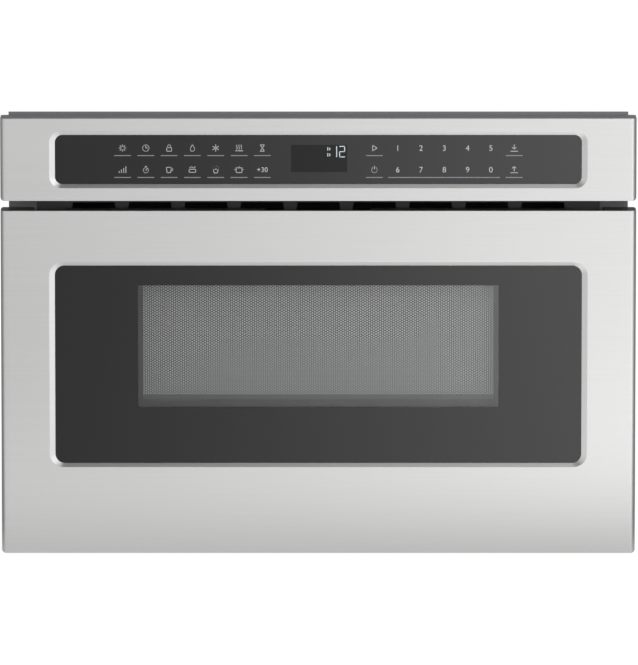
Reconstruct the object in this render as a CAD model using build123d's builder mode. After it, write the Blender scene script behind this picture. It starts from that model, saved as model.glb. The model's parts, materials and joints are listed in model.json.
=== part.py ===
"""A 24-inch built-in microwave drawer.

Millimetres, z up. The origin is the centre of the chassis's underside, which rests on the cabinet's shelf.
The front looks towards -y. The drawer is shut.
"""

from build123d import *
import os
from math import atan, ceil, cos, pi, radians, sin, sqrt, tan

os.makedirs("parts", exist_ok=True)

# ------------------------------------------------------------------ driving sizes

# The drawer's tub, which holds the food
tub_width = 440.0
tub_depth = 420.0
tub_height = 180.0
tub_sheet = 1.2
tub_corner = 12.0
tub_rim = 6.0
tub_flange = 8.0
tray_thickness = 4.0
tray_gap = 2.0
drawer_travel = 381.0

# The welded cooking box round the tub
cavity_sheet = 1.0
cavity_side_gap = 9.8
cavity_back_gap = 20.0
cavity_floor_gap = 5.0
cavity_top_gap = 10.8
cavity_flange = 8.0

# The chassis round the cooking box
side_space = 47.0  # from the cooking box's inside to the chassis's outside
top_space = 47.5  # above the cooking box, for the waveguide and the stirrer
rear_space = 124.8  # behind the cooking box, for the power supply
cover_sheet = 0.8
pan_sheet = 1.2
pan_flange = 75.0
pan_rear_flange = 14.0
cover_rear_flange = 12.0
cover_vent_length = 44.0
cover_vent_width = 5.0
cover_vent_pitch = 24.0
cover_vent_row = 60.0
side_vent_count = 10
side_vent_pitch = 14.0
side_vent_rise = 215.0
rear_panel_recess = 3.0
panel_gap = 0.2
frame_sheet = 1.2
frame_side_flange = 18.0
frame_rim = 20.0
hem_gap = 1.0
frame_top_rise = 2.9  # above the fascia's top
mount_hole_radius = 2.5
mount_hole_spacing = 200.0
mount_hole_height = 190.0

# The fronts: the drawer's front below, the control fascia above, and the vent gap between them
front_depth = 32.0
front_overlap = 25.2  # how far the fronts stand out past the chassis's sides
door_drop = 23.7  # how far the drawer's front hangs below the chassis
vent_gap = 9.5
fascia_height = 79.1
skin_sheet = 0.8
side_round = 5.0
corner_round = 3.5
skin_fit = 0.2

# The sloped recess in front of each glass
recess_depth = 2.3
slope_side = 5.5
slope_end = 3.9
slope_corner = 4.0

# The drawer's glass and window
door_glass_width = 502.8
door_glass_height = 190.3
door_glass_rise = 87.1  # above the front's lower edge
door_glass_corner = 9.0
door_glass_thickness = 4.0
glass_lap = 6.0
window_width = 344.4
window_height = 117.6
window_rise = 53.7  # above the glass's lower edge
screen_sheet = 0.6
screen_lap = 14.0
screen_bead = 0.8
door_frame_sheet = 1.2
door_frame_margin = 3.0
hole_lap = 10.0  # how far the drawer frame's hole stands out past the window
inner_window_lap = 6.0
choke_depth = 4.2
choke_lap = 14.0
choke_corner = 20.0
choke_fit = 0.3
door_gap = 0.8

# The caps and the lip on the drawer's top edge
cap_height = 7.7
cap_width = 30.4
lip_depth = 20.0
lip_notch = 3.0
lip_end_notch = 30.0
lip_middle_notch = 100.0

# The vent louvre
slot_count = 9
slot_pitch = 53.7
slot_top_width = 39.7
slot_bottom_width = 42.2
slot_height = 7.5
slot_rise = 4.3  # from the drawer's top to the slots' top
louvre_depth = 4.0
louvre_edge = 3.0
louvre_top_edge = 5.5
louvre_flange = 2.8
louvre_fit = 0.2

# The control panel
control_glass_width = 501.8
control_glass_height = 46.9
control_glass_corner = 7.0
control_glass_thickness = 3.0
sensor_thickness = 0.5
bracket_wall = 2.5
cap_plate = 2.0
board_width = 420.0
board_height = 50.0
board_thickness = 1.6
board_standoff = 8.0
supply_block_width = 40.0
supply_block_height = 34.0
relay_count = 4
relay_width = 22.0
relay_height = 16.0
relay_pitch = 30.0
plug_width = 30.0
plug_height = 8.0
plug_pitch = 20.0
can_radius = 7.0
can_pitch = 23.0
component_gap = 5.4  # from the highest component to the front frame
display_width = 58.0
display_height = 30.0

# The slides: an outer rail on the chassis, a middle rail and an inner rail on the drawer's arm
slide_height = 45.7
slide_width = 12.7
slide_lift = 18.8
slide_setback = 2.0
slide_overlap = 76.0
rail_sheet = 1.2
rail_lip = 3.2
rail_neck = 2.2
rail_gap = 0.3
cavity_lift = 18.3  # from the slides' top to the cooking box

# The drive: two racks and pinions, one cross shaft, one gear pair and the motor
rack_module = 2.0
pinion_teeth = 18
pinion_face = 10.0
rack_face = 12.0
rack_back = 12.2
rack_backlash = 0.3
rack_inset = 4.0
rack_run_out = 2  # teeth past each end of the travel
shaft_radius = 4.0
shaft_floor_gap = 4.0
shaft_setback = 30.0
shaft_end = 2.0
gear_module = 1.5
shaft_gear_teeth = 28
motor_pinion_teeth = 18
gear_face = 8.0
gear_backlash = 0.25
gear_x = 120.0
pressure_angle = 20.0
motor_tilt = 25.0
run_clearance = 0.05
bearing_width = 12.0
bearing_length = 24.0
bearing_inset = 4.8
bearing_wall = 9.0
motor_shaft_radius = 4.0
gearbox_radius = 25.0
gearbox_length = 24.0
motor_radius = 19.0
motor_length = 45.0
motor_plate = 2.0
motor_plate_margin = 5.0
motor_foot = 20.0

# The arms that carry the drawer
arm_sheet = 1.5
arm_lift = 4.0  # the arm's lower edge above the slide's lower edge
arm_rear_run = 12.0
arm_tab = 26.0
arm_opening_gap = 5.0

# The microwave source, on the cooking box's top
duct_width = 88.0
duct_height = 28.0
duct_sheet = 1.0
duct_end = 14.0
dome_radius = 75.0
stirrer_radius = 58.0
stirrer_sheet = 1.0
stirrer_lift = 9.0
stirrer_hub_radius = 9.0
stirrer_shaft_radius = 4.0
stirrer_blade_width = 30.0
stirrer_cover_thickness = 1.0
stirrer_cover_lap = 4.0
stirrer_motor_radius = 24.0
stirrer_motor_height = 16.0
magnetron_setback = 60.0  # behind the cooking box
magnetron_width = 88.0
magnetron_depth = 92.0
magnetron_height = 74.0
magnetron_sheet = 2.0
magnetron_fins = 8
magnetron_core_radius = 20.0
antenna_radius = 8.0
antenna_height = 20.0

# The power supply, behind the cooking box
transformer_inset = 107.0  # from the chassis's side to the transformer's middle
transformer_width = 96.0
transformer_depth = 70.0
transformer_height = 84.0
coil_overhang = 12.0
coil_width = 69.0
coil_height = 46.0
capacitor_gap = 7.2  # from the transformer's foot plate to the clamp round the capacitor
capacitor_width = 52.0
capacitor_depth = 34.0
capacitor_height = 92.0
clamp_sheet = 1.0
clamp_width = 16.0
clamp_rise = 36.0
filter_x = -30.0
filter_width = 90.0
filter_depth = 60.0
filter_lift = 8.0
supply_depth = 56.0  # from the back of the cooking box to the middle of the power supply

# The cooling fan
fan_inset = 107.0  # from the chassis's side to the fan's axis
fan_size = 130.0
fan_radius = 58.0
fan_tip_gap = 2.0
fan_depth = 32.0
fan_wall = 3.0
fan_hub_radius = 20.0
fan_blades = 7
fan_chord = 26.0
fan_pitch = 32.0
fan_blade_thickness = 1.6
fan_motor_radius = 24.0
fan_motor_length = 26.0
fan_shaft_radius = 3.0
fan_rear_gap = 8.0
strut_width = 8.0
grille_slots = 9
grille_slot_height = 5.0
exhaust_slots = 8
exhaust_pitch = 12.0
exhaust_length = 90.0
exhaust_rise = 190.0

# The lamp, the interlocks, the cord's gland and the screws
lamp_radius = 18.0
lamp_length = 30.0
lamp_plate = 2.0
lamp_setback = 140.0
lamp_drop = 40.0
hook_width = 8.0
hook_height = 18.0
hook_length = 24.0
hook_sheet = 3.0
hook_drop = 34.0  # below the drawer frame's top
hook_side_gap = 3.0
hook_slot_gap = 2.5
switch_length = 20.0
switch_height = 16.0
switch_width = 10.0
switch_plate = 1.2
gland_radius = 9.0
gland_flange = 4.0
gland_inset = 48.0
gland_drop = 42.0
screw_radius = 1.8
screw_head_radius = 3.4
screw_head_height = 1.8
screw_clearance = 0.1

# ------------------------------------------------------------------ places worked out from the sizes

# Heights
slide_low = pan_sheet + slide_lift
slide_high = slide_low + slide_height
cavity_low = slide_high + cavity_lift
cavity_floor = cavity_low + cavity_sheet
tub_low = cavity_floor + cavity_floor_gap
tub_floor = tub_low + tub_sheet
tub_top = tub_floor + tub_height
cavity_ceiling = tub_top + cavity_top_gap
cavity_high = cavity_ceiling + cavity_sheet
chassis_high = cavity_high + top_space
choke_low = cavity_floor - choke_lap
choke_high = cavity_ceiling + choke_lap
door_frame_high = choke_high + door_frame_margin
door_low = -door_drop
door_high = door_frame_high + cap_height
fascia_low = door_high + vent_gap
fascia_high = fascia_low + fascia_height
frame_high = fascia_high + frame_top_rise

# Widths
tub_half = tub_width / 2 + tub_sheet
cavity_half = tub_half + cavity_side_gap
chassis_half = cavity_half + side_space
front_half = chassis_half + front_overlap
cover_inside = chassis_half - cover_sheet
pan_inside = cover_inside - pan_sheet
choke_half = cavity_half + choke_lap

# Depths, from the drawer frame's rear face (0) to the chassis's rear, then from the middle of the chassis
cavity_depth = tub_depth + 2 * tub_sheet + cavity_back_gap + cavity_sheet
tub_reach = choke_depth + door_gap + frame_sheet  # how far the tub's front stands before the cabinet's face
chassis_depth = cavity_depth - tub_reach + rear_space
cabinet_face = -chassis_depth / 2
chassis_rear = chassis_depth / 2
front_face = cabinet_face - front_depth
frame_front = cabinet_face - frame_sheet
door_back = frame_front - door_gap
tub_front = door_back - choke_depth
tub_back = tub_front + tub_depth + 2 * tub_sheet
cavity_back = tub_back + cavity_back_gap + cavity_sheet
panel_front = chassis_rear - rear_panel_recess - cover_sheet
glass_front = front_face + recess_depth
skin_inside = front_face + skin_sheet
supply_y = cavity_back + supply_depth

# The glass and the window in the drawer's front
door_glass_centre = door_low + door_glass_rise + door_glass_height / 2
window_centre = door_low + door_glass_rise + window_rise + window_height / 2
control_centre = (fascia_low + fascia_high) / 2

# The drive
pinion_radius = rack_module * pinion_teeth / 2
shaft_y = cabinet_face + shaft_setback
shaft_z = pan_sheet + shaft_floor_gap + pinion_radius + rack_module
rack_line = shaft_z + pinion_radius
rack_top = rack_line + 1.25 * rack_module + rack_back
slide_inside = pan_inside - slide_width
arm_inside = slide_inside - arm_sheet
arm_low = slide_low + arm_lift
arm_high = rack_top + arm_sheet
rack_high_x = arm_inside - rack_inset
rack_low_x = rack_high_x - rack_face
arm_flange_x = rack_low_x - rack_inset
arm_tab_x = arm_inside - arm_tab
pinion_x = (rack_low_x + rack_high_x) / 2 - pinion_face / 2
rack_pitch = pi * rack_module
rack_teeth = ceil(drawer_travel / rack_pitch) + 2 * rack_run_out
rack_front = shaft_y - rack_run_out * rack_pitch
rack_rear = rack_front + rack_teeth * rack_pitch
arm_rear = rack_rear + arm_rear_run
slide_front = cabinet_face + slide_setback
slide_rear = slide_front + drawer_travel + slide_overlap
gear_distance = gear_module * (shaft_gear_teeth + motor_pinion_teeth) / 2
motor_y = shaft_y + gear_distance * cos(radians(motor_tilt))
motor_z = shaft_z + gear_distance * sin(radians(motor_tilt))
motor_plate_x = gear_x - 3 * motor_plate

# The microwave source
stirrer_y = (cabinet_face + cavity_back) / 2
magnetron_y = cavity_back + magnetron_setback
duct_high = cavity_high + duct_height
duct_rear = magnetron_y + antenna_radius + duct_end

# The interlock hooks
hook_x = choke_half + hook_side_gap
hook_z = door_frame_high - hook_drop


# ------------------------------------------------------------------ helpers


def facing(y):
    """The upright plane at depth y, with x to the right and z up. A negative extrusion goes to the rear."""
    return Plane.XZ.offset(-y)


def block(x, y, z, mode=Mode.ADD):
    """A block between the given pairs of x, y and z, in the part that is being built."""
    with Locations(((x[0] + x[1]) / 2, (y[0] + y[1]) / 2, (z[0] + z[1]) / 2)):
        Box(abs(x[1] - x[0]), abs(y[1] - y[0]), abs(z[1] - z[0]), mode=mode)


def strip(x, z, mode=Mode.ADD):
    """A rectangle between the given pairs of x and z, in the sketch that is being drawn."""
    with Locations(((x[0] + x[1]) / 2, (z[0] + z[1]) / 2)):
        Rectangle(abs(x[1] - x[0]), abs(z[1] - z[0]), mode=mode)


def rod(x, y, z, radius, length, direction, mode=Mode.ADD):
    """A round bar that starts at a point and runs along a direction, in the part that is being built."""
    with BuildSketch(Plane(origin=(x, y, z), z_dir=direction)) as end:
        Circle(radius)
    extrude(to_extrude=end.sketch, amount=length, mode=mode)


def front_block(half_width, low, high, front, back, edge_round, lower_round):
    """A block with rounded front side edges, and with its two lower corners rounded in front view."""
    with BuildPart() as body:
        with BuildSketch(Plane.XY.offset(low)) as plan:
            strip((-half_width, half_width), (front, back))
            fillet(plan.vertices().group_by(Axis.Y)[0], edge_round)
        extrude(amount=high - low)
        with BuildSketch(facing(front)) as outline:
            strip((-half_width, half_width), (low, high))
            fillet(outline.vertices().group_by(Axis.Y)[0], lower_round)
        extrude(amount=front - back, mode=Mode.INTERSECT)
    return body.part


def recess_block(width, height, corner, centre, grow):
    """The tapered space in front of a glass, from the front face down to the glass, made larger by grow."""
    with BuildPart() as space:
        with BuildSketch(facing(front_face)):
            with Locations((0, centre)):
                RectangleRounded(
                    width + 2 * (slope_side + grow),
                    height + 2 * (slope_end + grow),
                    corner + slope_corner + grow,
                )
        with BuildSketch(facing(glass_front)):
            with Locations((0, centre)):
                RectangleRounded(width + 2 * grow, height + 2 * grow, corner + grow)
        loft()
    return space.part


def recessed_skin(low, high, back, width, height, corner, centre):
    """A folded skin, open at its top and rear, whose front slopes in to the glass behind it."""
    outside = front_block(front_half, low, high, front_face, back, side_round, corner_round)
    inside = front_block(
        front_half - skin_sheet,
        low + skin_sheet,
        high + skin_sheet,
        skin_inside,
        back + skin_sheet,
        side_round - skin_sheet,
        corner_round - skin_sheet,
    )
    with BuildPart() as skin:
        add(outside)
        add(inside, mode=Mode.SUBTRACT)
        add(recess_block(width, height, corner, centre, skin_sheet))
        add(recess_block(width, height, corner, centre, 0), mode=Mode.SUBTRACT)
    return skin.part


def glass_plate(width, height, corner, centre, front, thickness):
    """A flat glass with rounded corners."""
    with BuildPart() as plate:
        with BuildSketch(facing(front)):
            with Locations((0, centre)):
                RectangleRounded(width, height, corner)
        extrude(amount=-thickness)
    return plate.part


def involute(radius, base):
    """How far an involute of the base circle has turned when it reaches a radius, in radians."""
    roll = sqrt(max((radius / base) ** 2 - 1, 0))
    return roll - atan(roll)


def gear_sketch(module, teeth, backlash, bore, first_tooth):
    """A spur gear's face. Each flank is two chords of its involute. The first tooth points at an angle."""
    pitch = module * teeth / 2
    base = pitch * cos(radians(pressure_angle))
    half_tooth = (pi * module / 2 - backlash) / (2 * pitch)
    radii = (pitch - 1.25 * module, pitch, pitch + module)
    spans = [half_tooth + involute(pitch, base) - involute(r, base) for r in radii]
    flank = list(zip(radii, spans))
    outline = []
    for tooth in range(teeth):
        middle = radians(first_tooth) + 2 * pi * tooth / teeth
        outline += [(r * cos(middle - a), r * sin(middle - a)) for r, a in flank]
        outline += [(r * cos(middle + a), r * sin(middle + a)) for r, a in reversed(flank)]
    with BuildSketch() as face:
        with BuildLine():
            Polyline(*outline, close=True)
        make_face()
        Circle(bore, mode=Mode.SUBTRACT)
    return face.sketch


def gear(module, teeth, backlash, bore, first_tooth, x, y, z, width):
    """A spur gear on an axis along x, between x and x + width."""
    face = gear_sketch(module, teeth, backlash, bore, first_tooth)
    with BuildPart() as wheel:
        with BuildSketch(Plane.YZ.offset(x)):
            with Locations((y, z)):
                add(face)
        extrude(amount=width)
    return wheel.part


def screw(x, y, z, length, mode=Mode.ADD):
    """A pan-head screw with its head to the rear of y and its shank to the front of it."""
    rod(x, y, z, screw_head_radius, screw_head_height, (0, 1, 0), mode)
    rod(x, y, z, screw_radius, length, (0, -1, 0), mode)


# ------------------------------------------------------------------ the chassis

# The base pan: a floor with upright side flanges, which carry the slides, and a low rear flange
with BuildPart() as base_pan:
    with BuildSketch(facing(cabinet_face)):
        strip((-cover_inside, cover_inside), (0, pan_sheet))
        for side in (-1, 1):
            strip((side * pan_inside, side * cover_inside), (0, pan_flange))
    extrude(amount=cabinet_face - panel_front)
    block((-pan_inside, pan_inside), (panel_front - pan_sheet, panel_front), (0, pan_rear_flange))
base_pan.part.label = "base_pan"
export_step(base_pan.part, "parts/base_pan.step")

# Where the screws of the rear panel go: up each side and along the top
panel_screw_x = cover_inside - cover_rear_flange / 2
panel_screw_top = chassis_high - cover_sheet - cover_rear_flange / 2
side_screw_heights = [pan_flange + (panel_screw_top - pan_flange) * share for share in (0.15, 0.5, 0.85)]
panel_screws = [(side * panel_screw_x, z) for side in (-1, 1) for z in side_screw_heights]
panel_screws += [(panel_screw_x * share, panel_screw_top) for share in (-0.5, 0, 0.5)]

# The wrapper: the chassis's top and sides in one folded sheet, with a rear flange and vent slots
with BuildPart() as wrapper_cover:
    with BuildSketch(facing(cabinet_face)):
        strip((-chassis_half, chassis_half), (0, chassis_high))
        strip((-cover_inside, cover_inside), (0, chassis_high - cover_sheet), mode=Mode.SUBTRACT)
    extrude(amount=-chassis_depth)
    with BuildSketch(facing(panel_front - cover_sheet)):
        strip((-cover_inside, cover_inside), (pan_flange + 1, chassis_high - cover_sheet))
        strip(
            (cover_rear_flange - cover_inside, cover_inside - cover_rear_flange),
            (pan_flange + 1, chassis_high - cover_sheet - cover_rear_flange),
            mode=Mode.SUBTRACT,
        )
    extrude(amount=-cover_sheet)
    with BuildSketch(Plane.XY.offset(chassis_high - cover_sheet)):
        with Locations((0, magnetron_y)):
            with GridLocations(cover_vent_pitch, cover_vent_row, 9, 2):
                SlotOverall(cover_vent_length, cover_vent_width, rotation=90)
    extrude(amount=cover_sheet, mode=Mode.SUBTRACT)
    with BuildSketch(Plane.YZ.offset(-chassis_half)):
        with Locations((magnetron_y, side_vent_rise)):
            with GridLocations(side_vent_pitch, cover_vent_length, side_vent_count, 1):
                SlotOverall(cover_vent_length, cover_vent_width, rotation=90)
    extrude(amount=2 * chassis_half, mode=Mode.SUBTRACT)
    with BuildSketch(facing(panel_front)):
        with Locations(*panel_screws):
            Circle(screw_radius + run_clearance)
    extrude(amount=cover_sheet, mode=Mode.SUBTRACT)
wrapper_cover.part.label = "wrapper_cover"
export_step(wrapper_cover.part, "parts/wrapper_cover.step")

# The fan's place: it stands on the base pan, a little before the rear panel
fan_x = fan_inset - cover_inside
fan_z = pan_sheet + fan_size / 2
fan_rear = panel_front - fan_rear_gap
fan_front = fan_rear - fan_depth
transformer_x = cover_inside - transformer_inset
transformer_foot = transformer_width / 2 + coil_overhang
capacitor_x = transformer_x - transformer_foot - capacitor_gap - clamp_sheet - capacitor_width / 2
gland_x = -cover_inside + gland_inset
gland_z = chassis_high - gland_drop

# The rear panel, with the fan's grille and the cord gland's hole
with BuildPart() as rear_panel:
    with BuildSketch(facing(panel_front)):
        strip(
            (panel_gap - cover_inside, cover_inside - panel_gap),
            (panel_gap, chassis_high - cover_sheet - panel_gap),
        )
        grille_pitch = 2 * fan_radius / grille_slots
        for slot in range(grille_slots):
            rise = (slot - (grille_slots - 1) / 2) * grille_pitch
            with Locations((fan_x, fan_z + rise)):
                SlotOverall(2 * sqrt(fan_radius**2 - rise**2), grille_slot_height, mode=Mode.SUBTRACT)
        with Locations((transformer_x, exhaust_rise)):
            with GridLocations(exhaust_length, exhaust_pitch, 1, exhaust_slots):
                SlotOverall(exhaust_length, grille_slot_height, mode=Mode.SUBTRACT)
        with Locations((gland_x, gland_z)):
            Circle(gland_radius, mode=Mode.SUBTRACT)
        with Locations(*panel_screws):
            Circle(screw_radius + screw_clearance, mode=Mode.SUBTRACT)
    extrude(amount=-cover_sheet)
rear_panel.part.label = "rear_panel"
export_step(rear_panel.part, "parts/rear_panel.step")

# The vent louvre's place, at the back of the gap between the fronts
slot_high = door_high + slot_rise
slot_low = slot_high - slot_height
louvre_low = slot_low - louvre_edge
louvre_high = slot_high + louvre_top_edge
louvre_half = front_half - skin_sheet - skin_fit - cap_width - louvre_edge

# The openings in the front frame beside the base pan, for the arms and the slides
arm_opening_x = (arm_tab_x, pan_inside - run_clearance)
arm_opening_z = (slide_low - arm_opening_gap, slide_high + arm_opening_gap)

# The front frame: the plate that is screwed to the cabinet, and that the drawer closes against.
# Its outer edge is hemmed, so that only the hem rests on the cabinet.
with BuildPart() as front_frame:
    with BuildSketch(facing(frame_front)):
        strip((-chassis_half - frame_side_flange, chassis_half + frame_side_flange), (0, frame_high))
        strip((-cavity_half, cavity_half), (cavity_floor, cavity_ceiling), mode=Mode.SUBTRACT)
        strip(
            (-louvre_half - louvre_fit, louvre_half + louvre_fit),
            (louvre_low - louvre_fit, louvre_high + louvre_fit),
            mode=Mode.SUBTRACT,
        )
        for side in (-1, 1):
            strip((side * arm_opening_x[0], side * arm_opening_x[1]), arm_opening_z, mode=Mode.SUBTRACT)
            with Locations((side * (hook_x + hook_width / 2), hook_z)):
                RectangleRounded(
                    hook_width + 2 * hook_slot_gap,
                    hook_height + 4 * hook_slot_gap,
                    hook_slot_gap,
                    mode=Mode.SUBTRACT,
                )
    extrude(amount=-frame_sheet)
    with BuildSketch(facing(cabinet_face)):
        strip((-chassis_half - frame_side_flange, chassis_half + frame_side_flange), (0, frame_high))
        strip(
            (-chassis_half - hem_gap, chassis_half + hem_gap),
            (0, chassis_high + hem_gap),
            mode=Mode.SUBTRACT,
        )
    extrude(amount=-frame_sheet)
    with BuildSketch(facing(frame_front)):
        with Locations((0, mount_hole_height)):
            with GridLocations(2 * (chassis_half + frame_side_flange / 2), mount_hole_spacing, 2, 2):
                Circle(mount_hole_radius)
    extrude(amount=-2 * frame_sheet, mode=Mode.SUBTRACT)
    with BuildSketch(facing(cabinet_face)):
        strip((-cover_inside, cover_inside), (pan_flange + 1, chassis_high - cover_sheet))
        strip(
            (-pan_inside, pan_inside),
            (pan_flange + 1, chassis_high - cover_sheet - frame_sheet),
            mode=Mode.SUBTRACT,
        )
    extrude(amount=-frame_rim)
front_frame.part.label = "front_frame"
export_step(front_frame.part, "parts/front_frame.step")

# The cooking box: five walls, a front flange on the frame, the stirrer's hole and the lamp's hole
lamp_y = cabinet_face + lamp_setback
lamp_z = cavity_ceiling - lamp_drop
stirrer_hole = dome_radius - stirrer_cover_lap
with BuildPart() as oven_cavity:
    block(
        (-cavity_half - cavity_sheet, cavity_half + cavity_sheet),
        (cabinet_face, cavity_back),
        (cavity_low, cavity_high),
    )
    block(
        (-cavity_half - cavity_flange, cavity_half + cavity_flange),
        (cabinet_face, cabinet_face + cavity_sheet),
        (cavity_low - cavity_flange, cavity_high + cavity_flange),
    )
    block(
        (-cavity_half, cavity_half),
        (cabinet_face, cavity_back - cavity_sheet),
        (cavity_floor, cavity_ceiling),
        mode=Mode.SUBTRACT,
    )
    rod(0, stirrer_y, cavity_ceiling, stirrer_hole, cavity_sheet, (0, 0, 1), Mode.SUBTRACT)
    rod(cavity_half, lamp_y, lamp_z, lamp_radius / 2, cavity_sheet, (1, 0, 0), Mode.SUBTRACT)
oven_cavity.part.label = "oven_cavity"
export_step(oven_cavity.part, "parts/oven_cavity.step")

# The louvre: a bar in the frame's opening, with a flange behind the frame and nine slots wider at the bottom
with BuildPart() as vent_louvre:
    with BuildSketch(facing(frame_front)):
        strip((-louvre_half, louvre_half), (louvre_low, louvre_high))
    extrude(amount=-louvre_depth)
    with BuildSketch(facing(cabinet_face)):
        strip(
            (-louvre_half - louvre_flange, louvre_half + louvre_flange),
            (louvre_low - louvre_flange, louvre_high + louvre_flange),
        )
    extrude(amount=frame_sheet - louvre_depth)
    with BuildSketch(facing(frame_front)):
        with Locations((0, (slot_low + slot_high) / 2)):
            with GridLocations(slot_pitch, slot_height, slot_count, 1):
                Polygon(
                    (-slot_bottom_width / 2, -slot_height / 2),
                    (slot_bottom_width / 2, -slot_height / 2),
                    (slot_top_width / 2, slot_height / 2),
                    (-slot_top_width / 2, slot_height / 2),
                )
    extrude(amount=-louvre_depth, mode=Mode.SUBTRACT)
vent_louvre.part.label = "vent_louvre"
export_step(vent_louvre.part, "parts/vent_louvre.step")

# ------------------------------------------------------------------ the fascia and its controls

# The skin, open at its top, where the cap closes it
with BuildPart() as fascia_skin:
    add(
        recessed_skin(
            fascia_low,
            fascia_high,
            frame_front - door_gap,
            control_glass_width,
            control_glass_height,
            control_glass_corner,
            control_centre,
        )
    )
fascia_skin.part.label = "fascia_skin"
export_step(fascia_skin.part, "parts/fascia_skin.step")

# The cap on the fascia's top, flush with the skin's edge
with BuildPart() as fascia_cap:
    with BuildSketch(Plane.XY.offset(fascia_high - cap_plate)) as cap_plan:
        strip((skin_sheet - front_half, front_half - skin_sheet), (skin_inside, frame_front))
        fillet(cap_plan.vertices().group_by(Axis.Y)[0], side_round - skin_sheet)
    extrude(amount=cap_plate)
fascia_cap.part.label = "fascia_cap"
export_step(fascia_cap.part, "parts/fascia_cap.step")

# The touch glass and the sensor film behind it
with BuildPart() as control_glass:
    add(
        glass_plate(
            control_glass_width + 2 * glass_lap,
            control_glass_height + 2 * glass_lap,
            control_glass_corner,
            control_centre,
            glass_front,
            control_glass_thickness,
        )
    )
control_glass.part.label = "control_glass"
export_step(control_glass.part, "parts/control_glass.step")

sensor_front = glass_front + control_glass_thickness
with BuildPart() as touch_sensor:
    add(
        glass_plate(
            control_glass_width,
            control_glass_height,
            control_glass_corner,
            control_centre,
            sensor_front,
            sensor_thickness,
        )
    )
touch_sensor.part.label = "touch_sensor"
export_step(touch_sensor.part, "parts/touch_sensor.step")

# The bracket: a moulded carrier with a plate behind the sensor, walls that reach the skin, and board bosses
bracket_plate_front = sensor_front + sensor_thickness
bracket_plate_rear = bracket_plate_front + bracket_wall
board_front = bracket_plate_rear + board_standoff
bracket_half = front_half - skin_sheet - skin_fit
bracket_low = fascia_low + skin_sheet + skin_fit
bracket_high = fascia_high - cap_plate
bracket_round = side_round - skin_sheet - skin_fit
bracket_corner = corner_round - skin_sheet - skin_fit
with BuildPart() as fascia_bracket:
    add(
        front_block(
            bracket_half,
            bracket_low,
            bracket_high,
            skin_inside,
            frame_front,
            bracket_round,
            bracket_corner,
        )
    )
    block(
        (bracket_wall - bracket_half, bracket_half - bracket_wall),
        (skin_inside, bracket_plate_front),
        (bracket_low + bracket_wall, bracket_high - bracket_wall),
        mode=Mode.SUBTRACT,
    )
    block(
        (bracket_wall - bracket_half, bracket_half - bracket_wall),
        (bracket_plate_rear, frame_front),
        (bracket_low + bracket_wall, bracket_high - bracket_wall),
        mode=Mode.SUBTRACT,
    )
    with BuildSketch(facing(bracket_plate_rear)):
        with Locations((0, control_centre)):
            with GridLocations(board_width / 2 - board_standoff, board_height - board_standoff, 3, 2):
                Circle(bracket_wall)
    extrude(amount=-board_standoff)
    block(
        (-display_width / 2 - skin_fit, display_width / 2 + skin_fit),
        (bracket_plate_front, bracket_plate_rear),
        (control_centre - display_height / 2 - skin_fit, control_centre + display_height / 2 + skin_fit),
        mode=Mode.SUBTRACT,
    )
fascia_bracket.part.label = "fascia_bracket"
export_step(fascia_bracket.part, "parts/fascia_bracket.step")

# The numeric display, on the board's front, up to the sensor
with BuildPart() as display_module:
    block(
        (-display_width / 2, display_width / 2),
        (bracket_plate_front, board_front),
        (control_centre - display_height / 2, control_centre + display_height / 2),
    )
display_module.part.label = "display_module"
export_step(display_module.part, "parts/display_module.step")

# The control board, with its transformer, relays and connectors on the rear
board_rear = board_front + board_thickness
component_rear = frame_front - component_gap
with BuildPart() as control_board:
    block(
        (-board_width / 2, board_width / 2),
        (board_front, board_rear),
        (control_centre - board_height / 2, control_centre + board_height / 2),
    )
    with BuildSketch(facing(board_rear)):
        with Locations((-board_width / 3, control_centre)):
            Rectangle(supply_block_width, supply_block_height)
        with Locations((board_width / 9, control_centre + relay_height / 2)):
            with GridLocations(relay_pitch, relay_height, relay_count, 1):
                Rectangle(relay_width, relay_height)
        with Locations((board_width * 3 / 8, control_centre)):
            with GridLocations(plug_width, plug_pitch, 1, 2):
                Rectangle(plug_width, plug_height)
        with Locations((-board_width / 8, control_centre)):
            with GridLocations(can_pitch, can_pitch, 2, 2):
                Circle(can_radius)
    extrude(amount=board_rear - component_rear)
control_board.part.label = "control_board"
export_step(control_board.part, "parts/control_board.step")

# ------------------------------------------------------------------ the drawer's front

with BuildPart() as door_skin:
    add(
        recessed_skin(
            door_low,
            door_high,
            tub_front,
            door_glass_width,
            door_glass_height,
            door_glass_corner,
            door_glass_centre,
        )
    )
door_skin.part.label = "door_skin"
export_step(door_skin.part, "parts/door_skin.step")

with BuildPart() as door_glass:
    add(
        glass_plate(
            door_glass_width + 2 * glass_lap,
            door_glass_height + 2 * glass_lap,
            door_glass_corner,
            door_glass_centre,
            glass_front,
            door_glass_thickness,
        )
    )
door_glass.part.label = "door_glass"
export_step(door_glass.part, "parts/door_glass.step")

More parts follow.
